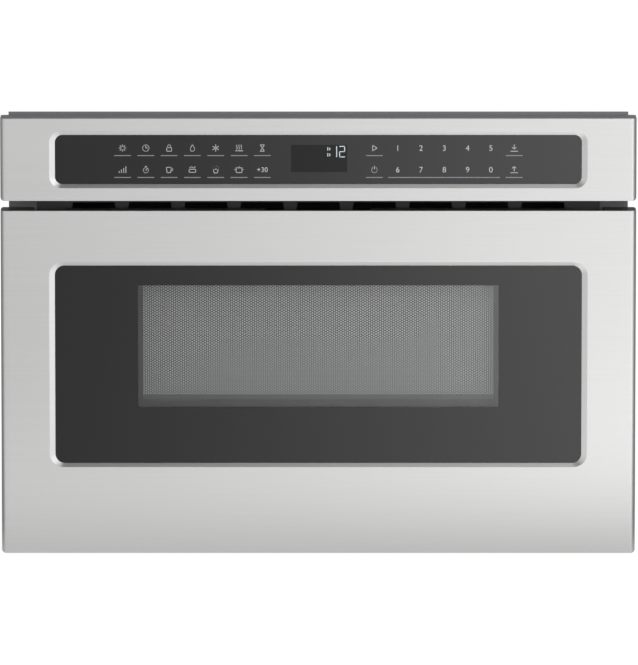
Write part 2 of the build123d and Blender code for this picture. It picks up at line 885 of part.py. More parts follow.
# The drawer's frame: a folded steel pan, open to the front, with a hole behind the window
door_frame_half = front_half - skin_sheet - skin_fit
door_frame_low = door_low + skin_sheet + skin_fit
door_frame_round = side_round - skin_sheet - skin_fit
door_frame_corner = corner_round - skin_sheet - skin_fit
door_plate_front = tub_front - door_frame_sheet
with BuildPart() as door_frame:
    add(
        front_block(
            door_frame_half,
            door_frame_low,
            door_frame_high,
            skin_inside,
            tub_front,
            door_frame_round,
            door_frame_corner,
        )
    )
    add(
        front_block(
            door_frame_half - door_frame_sheet,
            door_frame_low + door_frame_sheet,
            door_frame_high - door_frame_sheet,
            skin_inside - door_frame_sheet,
            door_plate_front,
            door_frame_round - door_frame_sheet,
            door_frame_corner - door_frame_sheet,
        ),
        mode=Mode.SUBTRACT,
    )
    with BuildSketch(facing(door_plate_front)):
        with Locations((0, window_centre)):
            Rectangle(window_width + 2 * hole_lap, window_height + 2 * hole_lap)
    extrude(amount=-door_frame_sheet, mode=Mode.SUBTRACT)
    drawer_screw_x = tub_half + tub_flange / 2
    drawer_screw_heights = [tub_floor + tub_height * share for share in (0.1, 0.5, 0.9)]
    arm_screw_x = (arm_tab_x + arm_flange_x) / 2
    arm_screw_heights = [arm_low + (arm_high - arm_low) * share for share in (0.25, 0.75)]
    door_screws = [(side * drawer_screw_x, z) for side in (-1, 1) for z in drawer_screw_heights]
    arm_screws = [(side * arm_screw_x, z) for side in (-1, 1) for z in arm_screw_heights]
    with BuildSketch(facing(door_plate_front)):
        with Locations(*door_screws, *arm_screws):
            Circle(screw_radius + run_clearance)
    extrude(amount=-door_frame_sheet, mode=Mode.SUBTRACT)
door_frame.part.label = "door_frame"
export_step(door_frame.part, "parts/door_frame.step")

# The window's screen, a thin sheet with a stiffening bead round the perforated field, on the frame's front
with BuildPart() as door_screen:
    with BuildSketch(facing(door_plate_front)):
        with Locations((0, window_centre)):
            Rectangle(
                window_width + 2 * (hole_lap + screen_lap),
                window_height + 2 * (hole_lap + screen_lap),
            )
    extrude(amount=screen_sheet)
    with BuildSketch(facing(door_plate_front - screen_sheet)):
        with Locations((0, window_centre)):
            RectangleRounded(window_width + 2 * hole_lap, window_height + 2 * hole_lap, hole_lap)
            RectangleRounded(
                window_width + hole_lap,
                window_height + hole_lap,
                hole_lap / 2,
                mode=Mode.SUBTRACT,
            )
    extrude(amount=screen_bead)
door_screen.part.label = "door_screen"
export_step(door_screen.part, "parts/door_screen.step")

# The clear inner window, in the frame's hole, held between the screen and the tub
with BuildPart() as inner_window:
    with BuildSketch(facing(door_plate_front)):
        with Locations((0, window_centre)):
            Rectangle(window_width + 2 * hole_lap - 2 * skin_fit, window_height + 2 * hole_lap - 2 * skin_fit)
    extrude(amount=-door_frame_sheet)
inner_window.part.label = "inner_window"
export_step(inner_window.part, "parts/inner_window.step")

# The choke cover: a plastic ring on the frame's rear, which closes on the front frame
tub_flange_half = tub_half + tub_flange
tub_flange_low = tub_low - tub_flange
tub_flange_high = tub_top + tub_flange
with BuildPart() as choke_cover:
    with BuildSketch(facing(tub_front)) as choke_outline:
        strip((-choke_half, choke_half), (choke_low, choke_high))
        fillet(choke_outline.vertices(), choke_corner)
        strip(
            (-tub_flange_half - choke_fit, tub_flange_half + choke_fit),
            (tub_flange_low - choke_fit, tub_flange_high + choke_fit),
            mode=Mode.SUBTRACT,
        )
    extrude(amount=-choke_depth)
    chamfer(choke_cover.faces().sort_by(Axis.Y)[-1].outer_wire().edges(), choke_depth / 4)
choke_cover.part.label = "choke_cover"
export_step(choke_cover.part, "parts/choke_cover.step")

# The dark trim on the drawer's top edge: an end cap on each side, and a lip between them
with BuildPart() as door_cap_right:
    with BuildSketch(Plane.XY.offset(door_frame_high)) as cap_plan:
        strip((front_half - skin_sheet - cap_width, front_half - skin_sheet), (skin_inside, door_back))
        fillet(cap_plan.vertices().group_by(Axis.Y)[0].sort_by(Axis.X)[-1], side_round - skin_sheet)
    extrude(amount=cap_height)
    fillet(door_cap_right.faces().sort_by(Axis.Z)[-1].edges().sort_by(Axis.X)[0], cap_height / 6)
door_cap_right.part.label = "door_cap_right"
export_step(door_cap_right.part, "parts/door_cap_right.step")

with BuildPart() as door_cap_left:
    mirror(door_cap_right.part, about=Plane.YZ)
door_cap_left.part.label = "door_cap_left"
export_step(door_cap_left.part, "parts/door_cap_left.step")

lip_half = front_half - skin_sheet - cap_width - skin_fit
with BuildPart() as door_top_lip:
    block((-lip_half, lip_half), (skin_inside, skin_inside + lip_depth), (door_frame_high, door_high))
    lip_steps = [(-lip_half, lip_end_notch - lip_half), (lip_half - lip_end_notch, lip_half)]
    lip_steps += [(-lip_middle_notch / 2, lip_middle_notch / 2)]
    for step in lip_steps:
        block(
            step,
            (skin_inside + skin_sheet, skin_inside + lip_depth),
            (door_high - lip_notch, door_high),
            mode=Mode.SUBTRACT,
        )
door_top_lip.part.label = "door_top_lip"
export_step(door_top_lip.part, "parts/door_top_lip.step")

# ------------------------------------------------------------------ the tub and what carries it

# The tub: a deep-drawn pan with rounded corners, a rolled rim, and a front flange with the window's hole
with BuildPart() as drawer_tub:
    with BuildSketch(Plane.XY.offset(tub_low)) as tub_plan:
        strip((-tub_half, tub_half), (tub_front, tub_back))
        fillet(tub_plan.vertices().group_by(Axis.Y)[-1], tub_corner + tub_sheet)
    extrude(amount=tub_top - tub_low)
    fillet(drawer_tub.faces().sort_by(Axis.Z)[0].edges().sort_by(Axis.Y)[1:], tub_corner / 2 + tub_sheet)
    with BuildSketch(Plane.XY.offset(tub_top - tub_sheet)) as rim_plan:
        strip((-tub_half - tub_rim, tub_half + tub_rim), (tub_front, tub_back + tub_rim))
        fillet(rim_plan.vertices().group_by(Axis.Y)[-1], tub_corner + tub_rim)
    extrude(amount=tub_sheet)
    block(
        (-tub_flange_half, tub_flange_half),
        (tub_front, tub_front + tub_sheet),
        (tub_flange_low, tub_flange_high),
    )
    with BuildSketch(Plane.XY.offset(tub_floor)) as space_plan:
        strip((-tub_width / 2, tub_width / 2), (tub_front + tub_sheet, tub_back - tub_sheet))
        fillet(space_plan.vertices(), tub_corner)
    extrude(amount=tub_height, mode=Mode.SUBTRACT)
    with BuildSketch(facing(tub_front)):
        with Locations((0, window_centre)):
            Rectangle(
                window_width + 2 * (hole_lap - inner_window_lap),
                window_height + 2 * (hole_lap - inner_window_lap),
            )
        with Locations(*door_screws):
            Circle(screw_radius + screw_clearance)
    extrude(amount=-tub_sheet, mode=Mode.SUBTRACT)
drawer_tub.part.label = "drawer_tub"
export_step(drawer_tub.part, "parts/drawer_tub.step")

# The glass tray on the tub's floor
with BuildPart() as tub_tray:
    with BuildSketch(Plane.XY.offset(tub_floor)) as tray_plan:
        strip(
            (tray_gap - tub_width / 2, tub_width / 2 - tray_gap),
            (tub_front + tub_sheet + tray_gap, tub_back - tub_sheet - tray_gap),
        )
        fillet(tray_plan.vertices(), tub_corner - tray_gap / 2)
    extrude(amount=tray_thickness)
    fillet(tub_tray.faces().sort_by(Axis.Z)[-1].edges(), tray_thickness / 3)
tub_tray.part.label = "tub_tray"
export_step(tub_tray.part, "parts/tub_tray.step")

# Each arm: an upright web on the slide, a flange over the rack, and a front tab on the drawer's frame
with BuildPart() as carriage_arm_right:
    block((arm_inside, slide_inside), (tub_front, arm_rear), (arm_low, arm_high))
    block((arm_flange_x, slide_inside), (cabinet_face, arm_rear), (rack_top, arm_high))
    block((arm_tab_x, slide_inside), (tub_front, tub_front + arm_sheet), (arm_low, arm_high))
    with BuildSketch(facing(tub_front)):
        with Locations(*[(x, z) for x, z in arm_screws if x > 0]):
            Circle(screw_radius + screw_clearance)
    extrude(amount=-arm_sheet, mode=Mode.SUBTRACT)
    with BuildSketch(Plane.YZ.offset(arm_inside)):
        with Locations(((tub_front + arm_rear) / 2, (arm_low + rack_top) / 2)):
            with GridLocations((arm_rear - tub_front) / 5, 1, 4, 1):
                SlotOverall((arm_rear - tub_front) / 9, (rack_top - arm_low) / 3)
    extrude(amount=arm_sheet, mode=Mode.SUBTRACT)
carriage_arm_right.part.label = "carriage_arm_right"
export_step(carriage_arm_right.part, "parts/carriage_arm_right.step")

with BuildPart() as carriage_arm_left:
    mirror(carriage_arm_right.part, about=Plane.YZ)
carriage_arm_left.part.label = "carriage_arm_left"
export_step(carriage_arm_left.part, "parts/carriage_arm_left.step")


# Each slide: three rails of one folded section inside the other
def channel(x_open, x_web, low, high):
    """A folded channel that is open at x_open, with its web at x_web and a lip on each flange."""
    strip((x_open, x_web), (low, high))
    strip((x_open, x_web - rail_sheet), (low + rail_sheet, high - rail_sheet), mode=Mode.SUBTRACT)
    strip((x_open, x_open + rail_sheet), (low, low + rail_lip))
    strip((x_open, x_open + rail_sheet), (high - rail_lip, high))


step_in = rail_sheet + rail_gap
outer_open_x = slide_inside + rail_neck
with BuildPart() as outer_rail_right:
    with BuildSketch(facing(slide_front)):
        channel(outer_open_x, pan_inside, slide_low, slide_high)
    extrude(amount=slide_front - slide_rear)
outer_rail_right.part.label = "outer_rail_right"
export_step(outer_rail_right.part, "parts/outer_rail_right.step")

with BuildPart() as mid_rail_right:
    with BuildSketch(facing(slide_front)):
        channel(outer_open_x + step_in, pan_inside - step_in, slide_low + step_in, slide_high - step_in)
    extrude(amount=slide_front - slide_rear)
mid_rail_right.part.label = "mid_rail_right"
export_step(mid_rail_right.part, "parts/mid_rail_right.step")

# The inner rail is a hat section: its brims run behind the middle rail's lips, and its web is on the arm
brim_x = outer_open_x + 2 * step_in
brim_low = slide_low + 2 * step_in
brim_high = slide_high - 2 * step_in
hat_low = slide_low + step_in + rail_lip + rail_gap
hat_high = slide_high - step_in - rail_lip - rail_gap
with BuildPart() as inner_rail_right:
    with BuildSketch(facing(slide_front)):
        strip((slide_inside, brim_x + rail_sheet), (hat_low, hat_high))
        strip((brim_x, brim_x + rail_sheet), (brim_low, brim_high))
        strip(
            (slide_inside + rail_sheet, brim_x + rail_sheet),
            (hat_low + rail_sheet, hat_high - rail_sheet),
            mode=Mode.SUBTRACT,
        )
    extrude(amount=slide_front - slide_rear)
inner_rail_right.part.label = "inner_rail_right"
export_step(inner_rail_right.part, "parts/inner_rail_right.step")

with BuildPart() as outer_rail_left:
    mirror(outer_rail_right.part, about=Plane.YZ)
outer_rail_left.part.label = "outer_rail_left"
export_step(outer_rail_left.part, "parts/outer_rail_left.step")

with BuildPart() as mid_rail_left:
    mirror(mid_rail_right.part, about=Plane.YZ)
mid_rail_left.part.label = "mid_rail_left"
export_step(mid_rail_left.part, "parts/mid_rail_left.step")

with BuildPart() as inner_rail_left:
    mirror(inner_rail_right.part, about=Plane.YZ)
inner_rail_left.part.label = "inner_rail_left"
export_step(inner_rail_left.part, "parts/inner_rail_left.step")

# ------------------------------------------------------------------ the drive

# Each rack hangs under its arm's flange, teeth down. With the drawer shut, a tooth space is over the shaft.
rack_half_tooth = (rack_pitch / 2 - rack_backlash) / 2
flank_run = tan(radians(pressure_angle))
rack_outline = [(rack_front, rack_top), (rack_front, rack_line + 1.25 * rack_module)]
for tooth in range(rack_teeth):
    middle = rack_front + (tooth + 0.5) * rack_pitch
    tip_half = rack_half_tooth - rack_module * flank_run
    root_half = rack_half_tooth + 1.25 * rack_module * flank_run
    rack_outline += [
        (middle - root_half, rack_line + 1.25 * rack_module),
        (middle - tip_half, rack_line - rack_module),
        (middle + tip_half, rack_line - rack_module),
        (middle + root_half, rack_line + 1.25 * rack_module),
    ]
rack_outline += [(rack_rear, rack_line + 1.25 * rack_module), (rack_rear, rack_top)]
with BuildPart() as rack_right:
    with BuildSketch(Plane.YZ.offset(rack_low_x)):
        with BuildLine():
            Polyline(*rack_outline, close=True)
        make_face()
    extrude(amount=rack_face)
rack_right.part.label = "rack_right"
export_step(rack_right.part, "parts/rack_right.step")

with BuildPart() as rack_left:
    mirror(rack_right.part, about=Plane.YZ)
rack_left.part.label = "rack_left"
export_step(rack_left.part, "parts/rack_left.step")

# The cross shaft, its two pinions and its gear
shaft_reach = pinion_x + pinion_face + shaft_end
with BuildPart() as drive_shaft:
    rod(-shaft_reach, shaft_y, shaft_z, shaft_radius, 2 * shaft_reach, (1, 0, 0))
drive_shaft.part.label = "drive_shaft"
export_step(drive_shaft.part, "parts/drive_shaft.step")

with BuildPart() as drive_pinions:
    for x in (-pinion_x - pinion_face, pinion_x):
        add(
            gear(
                rack_module,
                pinion_teeth,
                rack_backlash,
                shaft_radius,
                90,
                x,
                shaft_y,
                shaft_z,
                pinion_face,
            )
        )
drive_pinions.part.label = "drive_pinions"
export_step(drive_pinions.part, "parts/drive_pinions.step")

with BuildPart() as shaft_gear:
    add(
        gear(
            gear_module,
            shaft_gear_teeth,
            gear_backlash,
            shaft_radius,
            motor_tilt,
            gear_x,
            shaft_y,
            shaft_z,
            gear_face,
        )
    )
shaft_gear.part.label = "shaft_gear"
export_step(shaft_gear.part, "parts/shaft_gear.step")

# The motor's pinion turns a tooth space towards the shaft gear's tooth
with BuildPart() as motor_pinion:
    add(
        gear(
            gear_module,
            motor_pinion_teeth,
            gear_backlash,
            motor_shaft_radius + run_clearance,
            motor_tilt + 180 + 180 / motor_pinion_teeth,
            gear_x,
            motor_y,
            motor_z,
            gear_face,
        )
    )
motor_pinion.part.label = "motor_pinion"
export_step(motor_pinion.part, "parts/motor_pinion.step")

# The motor, its gearbox and the output shaft
with BuildPart() as drive_motor:
    rod(motor_plate_x, motor_y, motor_z, gearbox_radius, gearbox_length, (-1, 0, 0))
    rod(motor_plate_x - gearbox_length, motor_y, motor_z, motor_radius, motor_length, (-1, 0, 0))
    output_length = gear_x + gear_face + shaft_end - motor_plate_x
    rod(motor_plate_x, motor_y, motor_z, motor_shaft_radius, output_length, (1, 0, 0))
drive_motor.part.label = "drive_motor"
export_step(drive_motor.part, "parts/drive_motor.step")

# The motor's bracket: an upright plate with a foot under the gearbox
plate_y = (shaft_y - shaft_radius - 2 * motor_plate_margin, motor_y + gearbox_radius + motor_plate_margin)
with BuildPart() as motor_bracket:
    block(
        (motor_plate_x, motor_plate_x + motor_plate),
        plate_y,
        (pan_sheet, motor_z + gearbox_radius + motor_plate_margin),
    )
    block((motor_plate_x - motor_foot, motor_plate_x), plate_y, (pan_sheet, pan_sheet + motor_plate))
    hole_start = motor_plate_x
    rod(hole_start, shaft_y, shaft_z, 2 * shaft_radius, motor_plate, (1, 0, 0), Mode.SUBTRACT)
    rod(hole_start, motor_y, motor_z, 2 * motor_shaft_radius, motor_plate, (1, 0, 0), Mode.SUBTRACT)
motor_bracket.part.label = "motor_bracket"
export_step(motor_bracket.part, "parts/motor_bracket.step")

# The shaft's two bearings, on the base pan
bearing_x = pinion_x - bearing_inset - bearing_width
with BuildPart() as shaft_bearings:
    for x in (bearing_x, -bearing_x - bearing_width):
        block(
            (x, x + bearing_width),
            (shaft_y - bearing_length / 2, shaft_y + bearing_length / 2),
            (pan_sheet, shaft_z + bearing_wall),
        )
        rod(x, shaft_y, shaft_z, shaft_radius + run_clearance, bearing_width, (1, 0, 0), Mode.SUBTRACT)
    fillet(
        shaft_bearings.edges().filter_by(Axis.X).group_by(Axis.Z)[-1],
        bearing_wall / 2,
    )
shaft_bearings.part.label = "shaft_bearings"
export_step(shaft_bearings.part, "parts/shaft_bearings.step")

# ------------------------------------------------------------------ the microwave source

# The waveguide: a flat duct from the magnetron to a round dome over the stirrer
with BuildPart() as waveguide:
    with BuildSketch(Plane.XY.offset(cavity_high)):
        with Locations((0, stirrer_y)):
            Circle(dome_radius)
        strip((-duct_width / 2, duct_width / 2), (stirrer_y, duct_rear))
    extrude(amount=duct_height)
    with BuildSketch(Plane.XY.offset(cavity_high + duct_sheet)):
        with Locations((0, stirrer_y)):
            Circle(dome_radius - duct_sheet)
        strip((duct_sheet - duct_width / 2, duct_width / 2 - duct_sheet), (stirrer_y, duct_rear - duct_sheet))
    extrude(amount=duct_height - 2 * duct_sheet, mode=Mode.SUBTRACT)
    rod(0, stirrer_y, cavity_high, stirrer_hole, duct_sheet, (0, 0, 1), Mode.SUBTRACT)
    rod(0, magnetron_y, cavity_high, antenna_radius + 1, duct_sheet, (0, 0, 1), Mode.SUBTRACT)
    rod(
        0,
        stirrer_y,
        duct_high - duct_sheet,
        stirrer_shaft_radius + run_clearance,
        duct_sheet,
        (0, 0, 1),
        Mode.SUBTRACT,
    )
waveguide.part.label = "waveguide"
export_step(waveguide.part, "parts/waveguide.step")

# The stirrer's cover, under the cooking box's ceiling
with BuildPart() as waveguide_cover:
    rod(0, stirrer_y, cavity_ceiling, dome_radius, stirrer_cover_thickness, (0, 0, -1))
waveguide_cover.part.label = "waveguide_cover"
export_step(waveguide_cover.part, "parts/waveguide_cover.step")

# The stirrer: a hub, three flat blades and a shaft up to its motor
stirrer_low = cavity_high + stirrer_lift
with BuildPart() as stirrer_blade:
    with BuildSketch(Plane.XY.offset(stirrer_low)):
        with Locations((0, stirrer_y)):
            with PolarLocations(stirrer_radius / 2, 3):
                SlotOverall(stirrer_radius, stirrer_blade_width)
            Circle(stirrer_blade_width / 2)
    extrude(amount=stirrer_sheet)
    rod(0, stirrer_y, stirrer_low, stirrer_hub_radius, stirrer_hub_radius, (0, 0, 1))
    rod(0, stirrer_y, stirrer_low, stirrer_shaft_radius, duct_high - stirrer_low, (0, 0, 1))
stirrer_blade.part.label = "stirrer_blade"
export_step(stirrer_blade.part, "parts/stirrer_blade.step")

# The stirrer's motor, a flat can with two ears on the dome
with BuildPart() as stirrer_motor:
    rod(0, stirrer_y, duct_high, stirrer_motor_radius, stirrer_motor_height, (0, 0, 1))
    with BuildSketch(Plane.XY.offset(duct_high)):
        with Locations((0, stirrer_y)):
            SlotOverall(2.8 * stirrer_motor_radius, stirrer_motor_radius / 2)
    extrude(amount=cover_sheet)
    fillet(stirrer_motor.faces().sort_by(Axis.Z)[-1].edges(), stirrer_motor_radius / 12)
stirrer_motor.part.label = "stirrer_motor"
export_step(stirrer_motor.part, "parts/stirrer_motor.step")

# The magnetron: a steel yoke under the waveguide, with cooling fins round its core and the antenna on top
magnetron_low = cavity_high - magnetron_height
fin_pitch = (magnetron_height - 2 * magnetron_sheet) / (magnetron_fins + 3)
with BuildPart() as magnetron:
    block(
        (-magnetron_width / 2, magnetron_width / 2),
        (magnetron_y - magnetron_depth / 2, magnetron_y + magnetron_depth / 2),
        (magnetron_low, cavity_high),
    )
    block(
        (magnetron_sheet - magnetron_width / 2, magnetron_width / 2 - magnetron_sheet),
        (magnetron_y - magnetron_depth / 2, magnetron_y + magnetron_depth / 2),
        (magnetron_low + magnetron_sheet, cavity_high - magnetron_sheet),
        mode=Mode.SUBTRACT,
    )
    rod(0, magnetron_y, magnetron_low, magnetron_core_radius, magnetron_height, (0, 0, 1))
    for fin in range(magnetron_fins):
        fin_z = magnetron_low + magnetron_sheet + (fin + 2) * fin_pitch
        block(
            (-magnetron_width / 2, magnetron_width / 2),
            (magnetron_y - magnetron_depth / 3, magnetron_y + magnetron_depth / 3),
            (fin_z, fin_z + magnetron_sheet / 2),
        )
    rod(0, magnetron_y, cavity_high, antenna_radius, antenna_height, (0, 0, 1))
    fillet(magnetron.faces().sort_by(Axis.Z)[-1].edges(), antenna_radius / 3)
    block(
        (-magnetron_core_radius, magnetron_core_radius),
        (magnetron_y - magnetron_core_radius, magnetron_y + magnetron_core_radius),
        (magnetron_low - magnetron_core_radius, magnetron_low),
    )
magnetron.part.label = "magnetron"
export_step(magnetron.part, "parts/magnetron.step")

# ------------------------------------------------------------------ the power supply

# The transformer: a laminated core with a coil through each window, on a foot plate
with BuildPart() as power_transformer:
    block(
        (transformer_x - transformer_width / 2, transformer_x + transformer_width / 2),
        (supply_y - transformer_depth / 2, supply_y + transformer_depth / 2),
        (pan_sheet, pan_sheet + transformer_height),
    )
    with BuildSketch(facing(supply_y - transformer_depth / 2 - coil_overhang)):
        with Locations((transformer_x, pan_sheet + transformer_height / 2)):
            RectangleRounded(coil_width, coil_height, coil_overhang)
    extrude(amount=-transformer_depth - 2 * coil_overhang)
    with BuildSketch(Plane.XY.offset(pan_sheet)):
        with Locations((transformer_x, supply_y)):
            RectangleRounded(transformer_width + 2 * coil_overhang, transformer_depth, coil_overhang / 2)
    extrude(amount=2 * cover_sheet)
power_transformer.part.label = "power_transformer"
export_step(power_transformer.part, "parts/power_transformer.step")

# The capacitor: an oval can with two terminals, held to the base pan by a clamp
with BuildPart() as hv_capacitor:
    with BuildSketch(Plane.XY.offset(pan_sheet)):
        with Locations((capacitor_x, supply_y)):
            SlotOverall(capacitor_width, capacitor_depth)
    extrude(amount=capacitor_height)
    fillet(hv_capacitor.faces().sort_by(Axis.Z)[-1].edges(), capacitor_depth / 16)
    for side in (-1, 1):
        terminal_x = capacitor_x + side * capacitor_width / 5
        can_top = pan_sheet + capacitor_height
        rod(terminal_x, supply_y, can_top, screw_head_radius, 2 * gland_flange, (0, 0, 1))
hv_capacitor.part.label = "hv_capacitor"
export_step(hv_capacitor.part, "parts/hv_capacitor.step")

with BuildPart() as capacitor_clamp:
    with BuildSketch(Plane.XY.offset(pan_sheet + clamp_rise)):
        with Locations((capacitor_x, supply_y)):
            SlotOverall(capacitor_width + 2 * clamp_sheet, capacitor_depth + 2 * clamp_sheet)
            SlotOverall(capacitor_width, capacitor_depth, mode=Mode.SUBTRACT)
    extrude(amount=clamp_width)
    leg_x = capacitor_x - capacitor_width / 2
    block(
        (leg_x - clamp_sheet, leg_x),
        (supply_y - clamp_width / 2, supply_y + clamp_width / 2),
        (pan_sheet, pan_sheet + clamp_rise + clamp_width),
    )
    block(
        (leg_x - clamp_width, leg_x),
        (supply_y - clamp_width / 2, supply_y + clamp_width / 2),
        (pan_sheet, pan_sheet + clamp_sheet),
    )
capacitor_clamp.part.label = "capacitor_clamp"
export_step(capacitor_clamp.part, "parts/capacitor_clamp.step")

# The noise filter: a small board on four feet, with a choke coil, two capacitors and a fuse
filter_top = pan_sheet + filter_lift + board_thickness
with BuildPart() as noise_filter:
    with BuildSketch(Plane.XY.offset(pan_sheet)):
        with Locations((filter_x, supply_y)):
            with GridLocations(filter_width - filter_lift, filter_depth - filter_lift, 2, 2):
                Circle(filter_lift / 3)
    extrude(amount=filter_lift)
    block(
        (filter_x - filter_width / 2, filter_x + filter_width / 2),
        (supply_y - filter_depth / 2, supply_y + filter_depth / 2),
        (pan_sheet + filter_lift, filter_top),
    )
    coil_x = filter_x - filter_width / 4
    rod(coil_x, supply_y, filter_top, filter_width / 6, filter_width / 4, (0, 0, 1))
    rod(coil_x, supply_y, filter_top, filter_width / 14, filter_width / 4, (0, 0, 1), Mode.SUBTRACT)
    with BuildSketch(Plane.XY.offset(filter_top)):
        with Locations((filter_x + filter_width / 5, supply_y)):
            with GridLocations(1, filter_depth / 3, 1, 2):
                Rectangle(filter_width / 3, filter_depth / 5)
    extrude(amount=filter_width / 5)
noise_filter.part.label = "noise_filter"
export_step(noise_filter.part, "parts/noise_filter.step")

# ------------------------------------------------------------------ the cooling fan

# The shroud: a square plate round a short ring, with three struts that hold the motor
motor_mount_y = fan_front + fan_wall
with BuildPart() as fan_shroud:
    with BuildSketch(facing(fan_rear)):
        with Locations((fan_x, fan_z)):
            RectangleRounded(fan_size, fan_size, fan_wall)
            Circle(fan_radius, mode=Mode.SUBTRACT)
    extrude(amount=fan_wall)
    with BuildSketch(facing(fan_rear)):
        with Locations((fan_x, fan_z)):
            Circle(fan_radius + fan_wall)
            Circle(fan_radius, mode=Mode.SUBTRACT)
    extrude(amount=fan_depth)
    with BuildSketch(facing(motor_mount_y)):
        with Locations((fan_x, fan_z)):
            with PolarLocations(fan_radius / 2 + fan_wall / 2, 3, start_angle=90):
                Rectangle(fan_radius + fan_wall, strut_width)
            Circle(fan_motor_radius)
            Circle(2 * fan_shaft_radius, mode=Mode.SUBTRACT)
    extrude(amount=fan_wall)
fan_shroud.part.label = "fan_shroud"
export_step(fan_shroud.part, "parts/fan_shroud.step")

# The motor, on the front of the struts, with its shaft through them into the blade's hub
blade_front = motor_mount_y + fan_wall / 2
blade_rear = fan_rear - fan_wall
with BuildPart() as fan_motor:
    rod(fan_x, fan_front, fan_z, fan_motor_radius, fan_motor_length, (0, -1, 0))
    fillet(fan_motor.faces().sort_by(Axis.Y)[0].edges(), fan_motor_radius / 8)
    rod(fan_x, fan_front, fan_z, fan_shaft_radius, blade_rear - fan_front, (0, 1, 0))
fan_motor.part.label = "fan_motor"
export_step(fan_motor.part, "parts/fan_motor.step")

# The blades: flat vanes set at a pitch round the hub, trimmed to a circle inside the ring
with BuildPart() as fan_blade:
    for vane in range(fan_blades):
        angle = 2 * pi * vane / fan_blades
        outward = (cos(angle), 0, sin(angle))
        vane_start = fan_hub_radius - fan_tip_gap
        root = (
            fan_x + vane_start * cos(angle),
            (blade_front + blade_rear) / 2,
            fan_z + vane_start * sin(angle),
        )
        with BuildSketch(Plane(origin=root, x_dir=(0, 1, 0), z_dir=outward)):
            Rectangle(fan_chord, fan_blade_thickness, rotation=fan_pitch)
        extrude(amount=fan_radius - vane_start)
    with BuildSketch(facing(blade_rear)):
        with Locations((fan_x, fan_z)):
            Circle(fan_radius - fan_tip_gap)
    extrude(amount=blade_rear - blade_front, mode=Mode.INTERSECT)
    hub_length = blade_rear - blade_front
    rod(fan_x, blade_front, fan_z, fan_hub_radius, hub_length, (0, 1, 0))
    rod(fan_x, blade_front, fan_z, fan_shaft_radius + run_clearance, hub_length, (0, 1, 0), Mode.SUBTRACT)
fan_blade.part.label = "fan_blade"
export_step(fan_blade.part, "parts/fan_blade.step")

# ------------------------------------------------------------------ the lamp, the interlocks and the screws

# The lamp's holder, on the cooking box's side over the lamp hole
lamp_x = cavity_half + cavity_sheet
with BuildPart() as oven_lamp:
    with BuildSketch(Plane.YZ.offset(lamp_x)):
        with Locations((lamp_y, lamp_z)):
            RectangleRounded(2.4 * lamp_radius, 2.4 * lamp_radius, lamp_radius / 4)
    extrude(amount=lamp_plate)
    rod(lamp_x, lamp_y, lamp_z, lamp_radius, lamp_length, (1, 0, 0))
    fillet(oven_lamp.faces().sort_by(Axis.X)[-1].edges(), lamp_radius / 6)
oven_lamp.part.label = "oven_lamp"
export_step(oven_lamp.part, "parts/oven_lamp.step")

# The latch hooks on the drawer's frame, each a foot plate and a barbed arm through the front frame
with BuildPart() as latch_hooks:
    for side in (-1, 1):
        x = (side * hook_x, side * (hook_x + hook_width))
        foot_z = (hook_z - hook_height / 2, hook_z + hook_height / 2)
        block(x, (tub_front, tub_front + hook_sheet / 2), foot_z)
        arm_x = (side * (hook_x + hook_width / 4), side * (hook_x + hook_width * 3 / 4))
        block(arm_x, (tub_front, tub_front + hook_length), (hook_z - hook_sheet, hook_z + hook_sheet))
        block(
            arm_x,
            (tub_front + hook_length - 2 * hook_sheet, tub_front + hook_length),
            (hook_z + hook_sheet, hook_z + 2 * hook_sheet),
        )
latch_hooks.part.label = "latch_hooks"
export_step(latch_hooks.part, "parts/latch_hooks.step")

# The interlock switches: two on each side, on a plate behind the front frame, with plungers towards the hook
switch_x = hook_x + hook_width + hook_slot_gap
with BuildPart() as interlock_switches:
    for side in (-1, 1):
        block(
            (side * switch_x, side * (switch_x + switch_height)),
            (cabinet_face, cabinet_face + switch_plate),
            (hook_z - 1.5 * switch_width, hook_z + 1.5 * switch_width),
        )
        for row in (-1, 1):
            middle = hook_z + row * switch_width * 0.6
            block(
                (side * (switch_x + hook_slot_gap), side * (switch_x + switch_height - hook_slot_gap)),
                (cabinet_face + switch_plate, cabinet_face + switch_plate + switch_length),
                (middle - switch_width / 2, middle + switch_width / 2),
            )
            rod(
                side * (switch_x + hook_slot_gap),
                cabinet_face + switch_plate + switch_length / 2,
                middle,
                screw_radius,
                2 * hook_slot_gap,
                (-side, 0, 0),
            )
interlock_switches.part.label = "interlock_switches"
export_step(interlock_switches.part, "parts/interlock_switches.step")

# The cord's gland, a stepped bush in the rear panel
with BuildPart() as cord_gland:
    rod(gland_x, panel_front - gland_flange, gland_z, gland_radius, gland_flange + cover_sheet, (0, 1, 0))
    rod(gland_x, panel_front + cover_sheet, gland_z, gland_radius + gland_flange, gland_flange / 2, (0, 1, 0))
    rod(gland_x, panel_front, gland_z, gland_radius + gland_flange / 2, gland_flange, (0, -1, 0))
cord_gland.part.label = "cord_gland"
export_step(cord_gland.part, "parts/cord_gland.step")

# The rear panel's screws, and the screws that hold the tub and the arms to the drawer's frame
with BuildPart() as chassis_screws:
    for x, z in panel_screws:
        screw(x, panel_front + cover_sheet, z, 4 * cover_sheet)
chassis_screws.part.label = "chassis_screws"
export_step(chassis_screws.part, "parts/chassis_screws.step")

with BuildPart() as drawer_screws:
    for x, z in door_screws:
        screw(x, tub_front + tub_sheet, z, tub_sheet + door_frame_sheet)
    for x, z in arm_screws:
        screw(x, tub_front + arm_sheet, z, arm_sheet + door_frame_sheet)
drawer_screws.part.label = "drawer_screws"
export_step(drawer_screws.part, "parts/drawer_screws.step")
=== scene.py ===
"""The looks of the built-in microwave drawer: brushed stainless fronts, black glass and a pale studio."""

import json
import math

import bpy
from mathutils import Matrix, Vector

